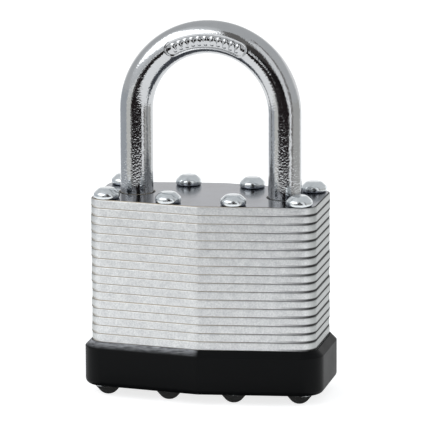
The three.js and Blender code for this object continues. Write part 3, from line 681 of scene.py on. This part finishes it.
def oblong(x0, y0, x1, y1):
    return [(x0, y0), (x1, y0), (x1, y1), (x0, y1)]


def cut_away(mesh, cutters):
    """The mesh with each cutter's shape taken out of it exactly, under the same name."""
    blank = bpy.data.objects.new("blank", mesh)
    scene.collection.objects.link(blank)
    tools = []
    for cutter in cutters:
        tool = bpy.data.objects.new("cutter", as_mesh("cutter", cutter))
        scene.collection.objects.link(tool)
        step = blank.modifiers.new("cut", "BOOLEAN")
        step.operation = "DIFFERENCE"
        step.solver = "EXACT"
        step.object = tool
        tools.append(tool)
    graph = bpy.context.evaluated_depsgraph_get()
    result = bpy.data.meshes.new_from_object(blank.evaluated_get(graph))
    for used in [blank, *tools]:
        bpy.data.objects.remove(used)
    name = mesh.name
    bpy.data.meshes.remove(mesh)
    result.name = name
    return result


# Die-cast zinc: a dull grey skin with the soft mottling of metal that froze against a steel mould.
die_cast_zinc, tree, shader, place = finish("die_cast_zinc", 0.9, Roughness=0.55)
flow = mottled(shader, place, 1.6, 5.0, ("#85878a", "#a9aaaa"))
cast_skin = add(tree, "Bump", {"Height": flow, "Strength": 0.3, "Distance": 0.04 * MM})
fill(shader, {"Normal": cast_skin})

# Turned brass: warm yellow with fine rings from the lathe tool, a little dulled by handling.
TOOL_RING = 0.18
RING_SCALE = per_metre(TOOL_RING) / 20  # a wave turns 20 radians per unit: drawn six times coarser, to show
turned_brass, tree, shader, place = finish("turned_brass", 1.0, Roughness=0.32)
mottled(shader, place, 2.0, 4.0, ("#a67c38", "#cda356"))
ring_look = {"Vector": place, "Scale": RING_SCALE, "Distortion": 0.6}
rings_up = add(tree, "TexWave", ring_look, bands_direction="Z").outputs["Fac"]
tool_marks = add(tree, "Bump", {"Height": rings_up, "Strength": 0.25, "Distance": 0.01 * MM})
fill(shader, {"Normal": tool_marks})

housing_low, housing_high = span("cylinder_housing")
BARREL_RADIUS = housing_high.x
BORE_RADIUS = 4.65
FLANGE_SEAT_RADIUS = 5.25
FLANGE_SEAT_TOP = 6.8
CHAMBER_RADIUS = 1.3
CHAMBER_STEPS = 32
HOUSING_EDGE = 0.15
STRIP_EDGE = 0.08
CUT_EDGE = 0.01  # cutters have all but sharp rims
PIN_NUMBERS = (1, 2, 3, 4)
PAST = 1.0  # how far a cutter runs past the face that it opens
pin_heights = {n: sum(span(f"driver_pin_{n}"), Vector()).z / 2 for n in PIN_NUMBERS}
HALF_RIB = 3.2
UP_TO_FRONT = Matrix.Rotation(math.pi / 2, 4, "X")
UP_TO_RIGHT = Matrix.Rotation(math.pi / 2, 4, "Y")


def towards_front(shape, y, height, x=0):
    """A shape made up its Z axis, laid along -Y from a point."""
    return shape.moved(Matrix.Translation((x, y, height)) @ UP_TO_FRONT)


housing_outline = barrel_outline(BARREL_RADIUS, HALF_RIB, housing_low.y)
housing_shape = extruded(housing_outline, housing_low.z, housing_high.z, HOUSING_EDGE)
housing_cutters = [
    drum(BORE_RADIUS, housing_low.z - PAST, housing_high.z + PAST, CUT_EDGE, (0, PLUG_Y), ROUND_STEPS),
    drum(FLANGE_SEAT_RADIUS, housing_low.z - PAST, FLANGE_SEAT_TOP, CUT_EDGE, (0, PLUG_Y), ROUND_STEPS),
]
for height in pin_heights.values():
    chamber = drum(CHAMBER_RADIUS, 0, PLUG_Y - housing_low.y + PAST, CUT_EDGE, steps=CHAMBER_STEPS)
    housing_cutters.append(towards_front(chamber, PLUG_Y, height))
housing_mesh = cut_away(as_mesh("cast_housing", housing_shape, die_cast_zinc), housing_cutters)
place_piece(housing_mesh, "cylinder_housing", "lock_body")

cover_low, cover_high = span("pin_chamber_cover")
cover_outline = oblong(cover_low.x, cover_low.y, cover_high.x, cover_high.y)
strip = extruded(cover_outline, cover_low.z, cover_high.z, STRIP_EDGE)
place_piece(as_mesh("brass_cover_strip", strip, turned_brass), "pin_chamber_cover", "lock_body")

# ----------
# Driver pins and their springs
# Four short brass pins wait outside the plug, each pushed in by a coil of fine spring steel wire that
# stands against the cover strip.
PIN_STEPS = 40
DRIVER_EDGE = 0.18
PIN_WIRE = 0.3
PIN_COIL = 1.7  # across, from the middle of the wire
PIN_TURNS = 2

# Drawn spring wire: grey steel with a silky shine along the wire.
spring_wire, tree, shader, place = finish("drawn_spring_steel_wire", 1.0)
mottled(shader, place, 0.8, 3.0, ("#76787c", "#a0a2a5"), (0.25, 0.42))


def coil(wire, diameter, length, turn_count, steps=28, sides=10):
    """A compression spring up the Z axis from the origin, with a closed turn at each end."""
    shape = Shape()
    rings = []
    closed = wire * 1.02  # what a closed turn rises, so that it all but touches the next
    inner = length - wire - 2 * closed
    total = turn_count + 2
    middle_radius = diameter / 2
    for i in range(total * steps + 1):
        turn = i / steps
        open_turns = min(max(turn - 1, 0), turn_count)
        rise = closed * min(turn, 1) + inner * open_turns / turn_count + closed * max(turn - total + 1, 0)
        angle = 2 * math.pi * turn
        outwards = Vector((math.cos(angle), math.sin(angle), 0))
        pitch = inner / turn_count if 1 <= turn <= total - 1 else closed
        slope = pitch / (2 * math.pi * middle_radius)
        along = Vector((-math.sin(angle), math.cos(angle), slope)).normalized()
        across = along.cross(outwards)
        centre = outwards * middle_radius + Vector((0, 0, wire / 2 + rise))
        spokes = [2 * math.pi * k / sides for k in range(sides)]
        rings.append(
            shape.ring([centre + (outwards * math.cos(s) + across * math.sin(s)) * wire / 2 for s in spokes])
        )
    shape.wall(rings)
    for ring, last in ((rings[0], False), (rings[-1], True)):
        shape.fan(ring, sum((shape.points[i] for i in ring), Vector()) / sides, outwards=last)
    return shape


for number, height in pin_heights.items():
    low, high = span(f"driver_pin_{number}")
    driver = towards_front(drum(high.x, 0, high.y - low.y, DRIVER_EDGE, steps=PIN_STEPS), high.y, height)
    driver_mesh = as_mesh(f"brass_driver_{number}", driver, turned_brass)
    place_piece(driver_mesh, f"driver_pin_{number}", "lock_body")
    low, high = span(f"pin_spring_{number}")
    fine_coil = towards_front(coil(PIN_WIRE, PIN_COIL, high.y - low.y, PIN_TURNS), high.y, height)
    coil_mesh = as_mesh(f"wire_pin_spring_{number}", fine_coil, spring_wire)
    place_piece(coil_mesh, f"pin_spring_{number}", "lock_body")

# ----------
# Plug
# One turned brass piece: a nose in the bumper's opening, a flange, the body with its stepped keyway
# and four pin holes, a neck for the clip, and the oval cam that works the levers.
# It is shaped in its locked place, pins to the front, and then turned to where it stands in the frame.
PLUG_TURNED = Matrix.Translation((0, PLUG_Y, 0)) @ Matrix.Rotation(math.pi / 2, 4, "Z")
PLUG_RADIUS = 4.5
NOSE_RADIUS = 4.2
FLANGE_RADIUS = 5.1
FLANGE_BOTTOM = 5.45
FLANGE_TOP = 6.65
NECK_RADIUS = 2.0
NECK_LENGTH = 1.3
PLUG_EDGE = 0.25
KEYWAY_TOP = 21.6
KEYWAY_HALF = 0.9
KEYWAY_SLOT = 1.2
KEYWAY_FRONT = -2.2
KEYWAY_REAR = 3.3
KEYWAY_LAP = 0.5
PIN_HOLE_RADIUS = 1.3
PIN_HOLE_REAR = 1.0
CAM_LONG = 3.18
CAM_SHORT = 1.98
CAM_EDGE = 0.12
cam_low_z = housing_high.z + NECK_LENGTH
barrel_profile = [
    (NOSE_RADIUS - PLUG_EDGE, plug_low.z),
    (NOSE_RADIUS, plug_low.z + PLUG_EDGE),
    (NOSE_RADIUS, FLANGE_BOTTOM),
    (FLANGE_RADIUS, FLANGE_BOTTOM),
    (FLANGE_RADIUS, FLANGE_TOP),
    (PLUG_RADIUS, FLANGE_TOP),
    (PLUG_RADIUS, housing_high.z - PLUG_EDGE),
    (PLUG_RADIUS - PLUG_EDGE, housing_high.z),
    (NECK_RADIUS, housing_high.z),
    (NECK_RADIUS, cam_low_z),
]
barrel = Shape()
barrel_rings = []
for radius, height in barrel_profile:
    barrel_rings.append(barrel.level(circle((0, 0), radius, ROUND_STEPS), height))
for out, height in ((0, cam_low_z), (0, plug_high.z - CAM_EDGE), (-CAM_EDGE, plug_high.z)):
    oval = [((CAM_SHORT + out) * x, (CAM_LONG + out) * y) for x, y in circle((0, 0), 1, ROUND_STEPS)]
    barrel_rings.append(barrel.level(oval, height))
barrel.wall(barrel_rings)
barrel.lid(barrel_rings[0], [], up=False)
barrel.lid(barrel_rings[-1], [], up=True)
keyway_slots = [
    oblong(-KEYWAY_HALF, KEYWAY_FRONT, KEYWAY_SLOT - KEYWAY_HALF, KEYWAY_LAP),
    oblong(KEYWAY_HALF - KEYWAY_SLOT, -KEYWAY_LAP, KEYWAY_HALF, KEYWAY_REAR),
]
plug_cutters = [extruded(slot, plug_low.z - PAST, KEYWAY_TOP, CUT_EDGE) for slot in keyway_slots]
for height in pin_heights.values():
    bore = drum(PIN_HOLE_RADIUS, 0, PLUG_RADIUS + PIN_HOLE_REAR + PAST, CUT_EDGE, steps=CHAMBER_STEPS)
    plug_cutters.append(towards_front(bore, PIN_HOLE_REAR, height))
plug_mesh = cut_away(as_mesh("brass_plug", barrel, turned_brass), plug_cutters)
plug_mesh.transform(Matrix.Scale(MM, 4) @ PLUG_TURNED @ Matrix.Scale(1 / MM, 4))
place_piece(plug_mesh, "plug", "plug")

# ----------
# Key pins and the plug's clip
# Four round-ended brass pins of different lengths stand in the plug, as the right key holds them. An
# open ring of spring steel snaps into the plug's neck and keeps the plug in its housing.
KEY_PIN_TIP = 0.7  # length of the rounded tip
KEY_PIN_EDGE = 0.1
TIP_TURNS = (0, 0.4, 0.8, 1.2, math.pi / 2)
for number, height in pin_heights.items():
    node = f"key_pin_{number}"
    low, high = span(node)
    length = high.x - low.x
    radius = (high.y - low.y) / 2
    tip = [(radius * math.sin(turn), KEY_PIN_TIP * (1 - math.cos(turn))) for turn in TIP_TURNS]
    rear = [(radius, length - KEY_PIN_EDGE), (radius - KEY_PIN_EDGE, length), (0, length)]
    key_pin = turned(tip + rear, steps=PIN_STEPS)
    key_pin.moved(Matrix.Translation((low.x, PLUG_Y, height)) @ UP_TO_RIGHT)
    place_piece(as_mesh(f"brass_{node}", key_pin, turned_brass), node, node)

clip_low, clip_high = span("plug_clip")
CLIP_RADIUS = (clip_high.x - clip_low.x) / 2
CLIP_INNER = 2.15
CLIP_MOUTH = 1.6
CLIP_EDGE = 0.06
outer_mouth = math.degrees(math.asin(CLIP_MOUTH / CLIP_RADIUS))
inner_mouth = math.degrees(math.asin(CLIP_MOUTH / CLIP_INNER))
clip_outline = arc((0, 0), CLIP_RADIUS, outer_mouth, 360 - outer_mouth, steps=56)
clip_outline += arc((0, 0), CLIP_INNER, 360 - inner_mouth, inner_mouth, steps=40)
clip = extruded(clip_outline, clip_low.z, clip_high.z, CLIP_EDGE).moved(PLUG_TURNED)
place_piece(as_mesh("spring_steel_clip", clip, spring_wire), "plug_clip", "plug")

# ----------
# Locking levers and their spring
# Two blanked and case-hardened steel levers face each other in the well. Each has a tip for its leg's
# notch and an arm round the cam that ends in a lug, and one coil spring pushes both outwards.

# Case-hardened steel: dark grey with blue-brown heat tints and a dry, slightly scaly skin.
hardened_steel, tree, shader, place = finish("case_hardened_steel", 0.9, Roughness=0.4)
mottled(shader, place, 4.0, 4.0, ("#4f5662", "#6e665c"))
scale_skin = add(tree, "TexNoise", {"Vector": place, "Scale": per_metre(0.4), "Detail": 4.0})
scaly = add(tree, "Bump", {"Height": scale_skin, "Strength": 0.3, "Distance": 0.02 * MM})
fill(shader, {"Normal": scaly})

LEVER_BODY_X = 4.98
LEVER_BODY_END = 7.48
LEVER_HALF_TIP = 2.4
LUG_FACE = 3.48
LUG_BACK = 4.68
ARM_WIDTH = 1.0
CAM_GAP = 0.3  # between the cam's end and the heel lever's arm
LEVER_EDGE = 0.12
LEVER_WIRE = 0.4
LEVER_COIL = 1.8
LEVER_TURNS = 6
toe_low, toe_high = span("locking_lever_toe")
heel_low, heel_high = span("locking_lever_heel")


def lever_outline(half_body, reach, arm_inner, arm_outer, lug_end):
    """The toe lever's outline, going anticlockwise from the body's inner front corner."""
    step = [(LEVER_BODY_X, half_body), (LEVER_BODY_X, arm_outer)] if arm_outer < half_body else []
    return [
        (LEVER_BODY_X, -half_body),
        (LEVER_BODY_END, -half_body),
        *oblong(LEVER_BODY_END, -LEVER_HALF_TIP, reach, LEVER_HALF_TIP),
        (LEVER_BODY_END, half_body),
        *step,
        (-LUG_BACK, arm_outer),
        (-LUG_BACK, lug_end),
        (-LUG_FACE, lug_end),
        (-LUG_FACE, arm_inner),
        (LEVER_BODY_X, arm_inner),
    ]


toe_lug_end = PLUG_Y - CAM_SHORT
toe_outline = lever_outline(toe_high.y, toe_high.x, toe_high.y - ARM_WIDTH, toe_high.y, toe_lug_end)
toe_lever = extruded(toe_outline, toe_low.z, toe_high.z, LEVER_EDGE)
place_piece(as_mesh("steel_lever_toe", toe_lever, hardened_steel), "locking_lever_toe", "toe_lever")

# The heel lever is the same blank turned half round, with its arm on the other side of the cam.
heel_arm_inner = CAM_LONG + CAM_GAP - PLUG_Y
heel_arm = (heel_arm_inner, heel_arm_inner + ARM_WIDTH)
heel_outline = lever_outline(heel_high.y, -heel_low.x, *heel_arm, -(PLUG_Y + CAM_SHORT))
heel_lever = extruded(heel_outline, heel_low.z, heel_high.z, LEVER_EDGE)
heel_mesh = as_mesh("steel_lever_heel", heel_lever.moved(Matrix.Rotation(math.pi, 4, "Z")), hardened_steel)
place_piece(heel_mesh, "locking_lever_heel", "heel_lever")

low, high = span("lever_spring")
lever_coil = coil(LEVER_WIRE, LEVER_COIL, high.x - low.x, LEVER_TURNS)
lever_coil_start = Vector((low.x, (low.y + high.y) / 2, (low.z + high.z) / 2))
lever_coil.moved(Matrix.Translation(lever_coil_start) @ UP_TO_RIGHT)
place_piece(as_mesh("wire_lever_spring", lever_coil, spring_wire), "lever_spring", "lock_body")

# ----------
# Stop pin and shackle spring
# A hardened pin lies across the stack beside the heel's neck and catches its collar when the shackle
# is up. A strong coil spring stands under the heel and throws the shackle open.
STOP_PIN_EDGE = 0.15
HEEL_WIRE = 0.7
HEEL_COIL = 4.6
HEEL_TURNS = 2
stop_pin_middle = (pin_low + pin_high) / 2
stop_pin = drum((pin_high.x - pin_low.x) / 2, 0, pin_high.y - pin_low.y, STOP_PIN_EDGE, steps=PIN_STEPS)
towards_front(stop_pin, pin_high.y, stop_pin_middle.z, stop_pin_middle.x)
place_piece(as_mesh("steel_stop_pin", stop_pin, hardened_steel), "shackle_stop_pin", "lock_body")

low, high = span("shackle_spring")
heel_coil = coil(HEEL_WIRE, HEEL_COIL, high.z - low.z, HEEL_TURNS, steps=40, sides=14)
heel_coil.moved(Matrix.Translation((-LEG_X, 0, low.z)))
place_piece(as_mesh("wire_shackle_spring", heel_coil, spring_wire), "shackle_spring", "lock_body")

# ----------
# Shackle
# One round steel bar, bent to a half circle, hardened, polished and chrome plated. The heel on the left
# has a neck and a collar, both legs are notched, and the crown has a stamped oval in front.
CROWN_STATIONS = 340
LEG_STATIONS = 40
SHACKLE_SIDES = 144
NECK_BAR_RADIUS = 1.85
HEEL_CHAMFER = 0.4
NECK_TOP = 26.6
COLLAR_TOP = 12.55
SHOULDER_FILLET = 0.25
SHOULDER_BREAK = 0.1
TOE_RADIUS = 2.725
TOE_TAPER = 0.6
TOE_NOSE = 0.7
NOTCH_FLAT_X = 11.525
NOTCH_LOW = 27.65
NOTCH_HIGH = 30.95
BEND_Z = shackle_high.z - LEG_RADIUS - LEG_X

OVAL_HALF_LENGTH = 7.5
OVAL_SHIFT = 0.24  # the press struck a little to the left of the crown's middle
OVAL_HALF_WIDTH = 1.42
OVAL_DEPTH = 0.22
OVAL_WALL = 0.28
OVAL_LIP = 0.035  # the metal raised round the stamp, highest at LIP_OUT and gone LIP_REACH from there
LIP_OUT = 0.1
LIP_REACH = 0.25
RIB_COUNT = 11
RIB_SPACING = 1.16
RIB_RADIUS = 0.4
RIB_HALF_LENGTH = 0.52
RIB_HEIGHT = 0.17
RIB_STEEPNESS = 1.6
OVAL_TURN = math.radians(98)  # from straight outwards, round towards the front and the loop
OVAL_RADIUS = LEG_X + LEG_RADIUS * math.cos(OVAL_TURN)


def smoothstep(x):
    x = min(max(x, 0.0), 1.0)
    return x * x * (3 - 2 * x)


def oval_press(crown_angle, spoke):
    """How far the stamp moved the surface outwards, at an angle from the crown's middle and a spoke."""
    round_arc = crown_angle * OVAL_RADIUS + OVAL_SHIFT
    along = max(abs(round_arc) - (OVAL_HALF_LENGTH - OVAL_HALF_WIDTH), 0)
    across = (spoke - OVAL_TURN) * LEG_RADIUS
    outside = math.hypot(along, across) - OVAL_HALF_WIDTH
    lip = OVAL_LIP * max(0.0, 1 - abs(outside - LIP_OUT) / LIP_REACH)
    nearest = min(max(round(round_arc / RIB_SPACING), -(RIB_COUNT // 2)), RIB_COUNT // 2)
    past_end = max(abs(across) - RIB_HALF_LENGTH, 0)
    from_rib = math.hypot(round_arc - nearest * RIB_SPACING, past_end)
    rib = RIB_HEIGHT * smoothstep((RIB_RADIUS - from_rib) / RIB_RADIUS * RIB_STEEPNESS)
    return lip + rib - OVAL_DEPTH * smoothstep(-outside / OVAL_WALL)


def shackle_ring(shape, centre, outwards, radius, crown_angle=None):
    """One ring round the bar. Its spokes start outwards and go round by the front."""
    front = Vector((0, -1, 0))
    points = []
    for i in range(SHACKLE_SIDES):
        spoke = 2 * math.pi * i / SHACKLE_SIDES
        reach = radius
        if crown_angle is not None:
            reach += oval_press(crown_angle, spoke)
        points.append(centre + (outwards * math.cos(spoke) + front * math.sin(spoke)) * reach)
    return shape.ring(points)


heel_profile = [
    (LEG_RADIUS - HEEL_CHAMFER, shackle_low.z),
    (LEG_RADIUS, shackle_low.z + HEEL_CHAMFER),
    (LEG_RADIUS, COLLAR_TOP - SHOULDER_BREAK),
    (LEG_RADIUS - SHOULDER_BREAK, COLLAR_TOP),
    (NECK_BAR_RADIUS + SHOULDER_FILLET, COLLAR_TOP),
    (NECK_BAR_RADIUS, COLLAR_TOP + SHOULDER_FILLET),
    (NECK_BAR_RADIUS, NECK_TOP - SHOULDER_FILLET),
    (NECK_BAR_RADIUS + SHOULDER_FILLET, NECK_TOP),
    (LEG_RADIUS - SHOULDER_BREAK, NECK_TOP),
    (LEG_RADIUS, NECK_TOP + SHOULDER_BREAK),
]
toe_profile = [
    (LEG_RADIUS, TOE_BOTTOM + TOE_NOSE + SHOULDER_BREAK),
    (TOE_RADIUS, TOE_BOTTOM + TOE_NOSE),
    (TOE_RADIUS - 0.08, TOE_BOTTOM + TOE_NOSE - 0.15),  # softens the edge where the taper starts
    (TOE_RADIUS - TOE_TAPER, TOE_BOTTOM),
]
bar = Shape()
bar_rings = []


def leg_rings(side, profile):
    """Rings along the left (-1) or right (1) leg, from its radius at each height."""
    outwards = Vector((side, 0, 0))
    for radius, height in profile:
        centre = outwards * LEG_X + Vector((0, 0, height))
        bar_rings.append(shackle_ring(bar, centre, outwards, radius))


def straight(start, end):
    return [(LEG_RADIUS, start + (end - start) * i / LEG_STATIONS) for i in range(1, LEG_STATIONS)]


leg_rings(-1, heel_profile + straight(NECK_TOP, BEND_Z))
for i in range(CROWN_STATIONS + 1):
    crown_angle = math.pi * (i / CROWN_STATIONS - 0.5)
    outwards = Vector((math.sin(crown_angle), 0, math.cos(crown_angle)))
    centre = Vector((0, 0, BEND_Z)) + outwards * LEG_X
    bar_rings.append(shackle_ring(bar, centre, outwards, LEG_RADIUS, crown_angle))
leg_rings(1, straight(BEND_Z, toe_profile[0][1]) + toe_profile)
bar.wall(bar_rings)
bar.lid(bar_rings[0], [], up=False)
bar.lid(bar_rings[-1], [], up=False)

# Polished chrome plate: a dark, clean mirror with a fine orange-peel texture left by the plating over
# hardened steel, which breaks up the edges of its reflections and is coarser down the legs.
ORANGE_PEEL = 0.3
PEEL_DEPTH = 0.044 * MM  # peel and depth are coarser than the real ones, so that they show
PEEL_TOP = 62 * MM  # above here the peel is at its faintest, and below PEEL_LOW at its strongest
PEEL_LOW = 40 * MM
polished_chrome, tree, shader, place = finish("polished_chrome_plate", 1.0)
mottled(shader, place, 2.5, 4.0, ("#b8babc", "#c6c7c8"), (0.04, 0.14))
peel = add(tree, "TexNoise", {"Vector": place, "Scale": per_metre(ORANGE_PEEL), "Detail": 1.2})
leg_height = add(tree, "SeparateXYZ", {"Vector": place}).outputs["Z"]
coarse_span = {"From Min": PEEL_TOP, "From Max": PEEL_LOW, "To Min": 0.35, "To Max": 0.75}
coarser = add(tree, "MapRange", {"Value": leg_height, **coarse_span})
peeled = add(tree, "Bump", {"Height": peel, "Strength": coarser, "Distance": PEEL_DEPTH})
fill(shader, {"Normal": peeled})

notch_cutters = []
for side in (-1, 1):
    near, far = sorted((side * (LEG_X - LEG_RADIUS - PAST), side * NOTCH_FLAT_X))
    notch = oblong(near, -LEG_RADIUS - PAST, far, LEG_RADIUS + PAST)
    notch_cutters.append(extruded(notch, NOTCH_LOW, NOTCH_HIGH, CUT_EDGE))
shackle_mesh = cut_away(as_mesh("chrome_shackle", bar, polished_chrome), notch_cutters)
place_piece(shackle_mesh, "shackle", "shackle")

# ----------
# Rivets
# Eight soft steel rivets, zinc plated, run through the whole stack and the bumper's floor. The upper head
# of each was pressed before, as a low cone on a rim, and the lower one was peened when the stack was closed.
RIVET_SHANK = 1.3
RIVET_STEPS = 72
CROWN_DROP = 0.1  # each crown is domed by this much
# A head's rim height, its crown's radius, how far the roundings run beside the cone's two edges, and how
# far the rim curls in below its widest place.
PRESSED = (0.95, 1.34, 0.34, 0.45)
PEENED = (0.3, 1.05, 0.85, 0.06)
RIM_SHARE = 0.8  # the most of a rim's height that its shoulder's rounding takes
BLEND_STEPS = 7

# Bright zinc plate: blue-white and shiny, slightly brushed by tumbling.
bright_zinc, tree, shader, place = finish("bright_zinc_plate", 1.0)
tumble = mottled(shader, place, 0.7, 4.0, ("#cfd5d9", "#e6e9ea"), (0.12, 0.28))
dents = add(tree, "Bump", {"Height": tumble, "Strength": 0.25, "Distance": 0.04 * MM})
fill(shader, {"Normal": dents})


def blended(before, corner, after, reach):
    """Points round a soft corner between two straight stretches of a profile."""
    start = Vector(corner) + (Vector(before) - Vector(corner)).normalized() * reach
    end = Vector(corner) + (Vector(after) - Vector(corner)).normalized() * reach
    shares = [i / BLEND_STEPS for i in range(BLEND_STEPS + 1)]
    return [tuple(start * (1 - t) ** 2 + Vector(corner) * 2 * t * (1 - t) + end * t**2) for t in shares]


def head_profile(radius, height, rim, crown, reach, under):
    """Radius and distance from the plate, from under the rim to the middle of the crown."""
    shoulder = (radius, rim)
    brim = (crown, height - CROWN_DROP)
    top = (0, height)
    round_foot = blended((0, 0), (radius, 0), shoulder, under)
    round_shoulder = blended((radius, 0), shoulder, brim, min(reach, RIM_SHARE * rim))
    return round_foot + round_shoulder + blended(shoulder, brim, top, reach) + [top]


for node, axis in rivet_axes.items():
    low, high = span(node)
    head_radius = (high.x - low.x) / 2
    head_height = high.z - STACK_TOP
    peened = head_profile(head_radius, head_height, *PEENED)
    lower = [(radius, head_height - above) for radius, above in reversed(peened)]
    pressed = head_profile(head_radius, head_height, *PRESSED)
    upper = [(radius, STACK_TOP + above) for radius, above in pressed]
    shank = [(RIVET_SHANK, head_height), (RIVET_SHANK, STACK_TOP)]
    rivet = turned(lower + shank + upper, axis, RIVET_STEPS)
    place_piece(as_mesh(f"zinc_{node}", rivet, bright_zinc), node, "lock_body")
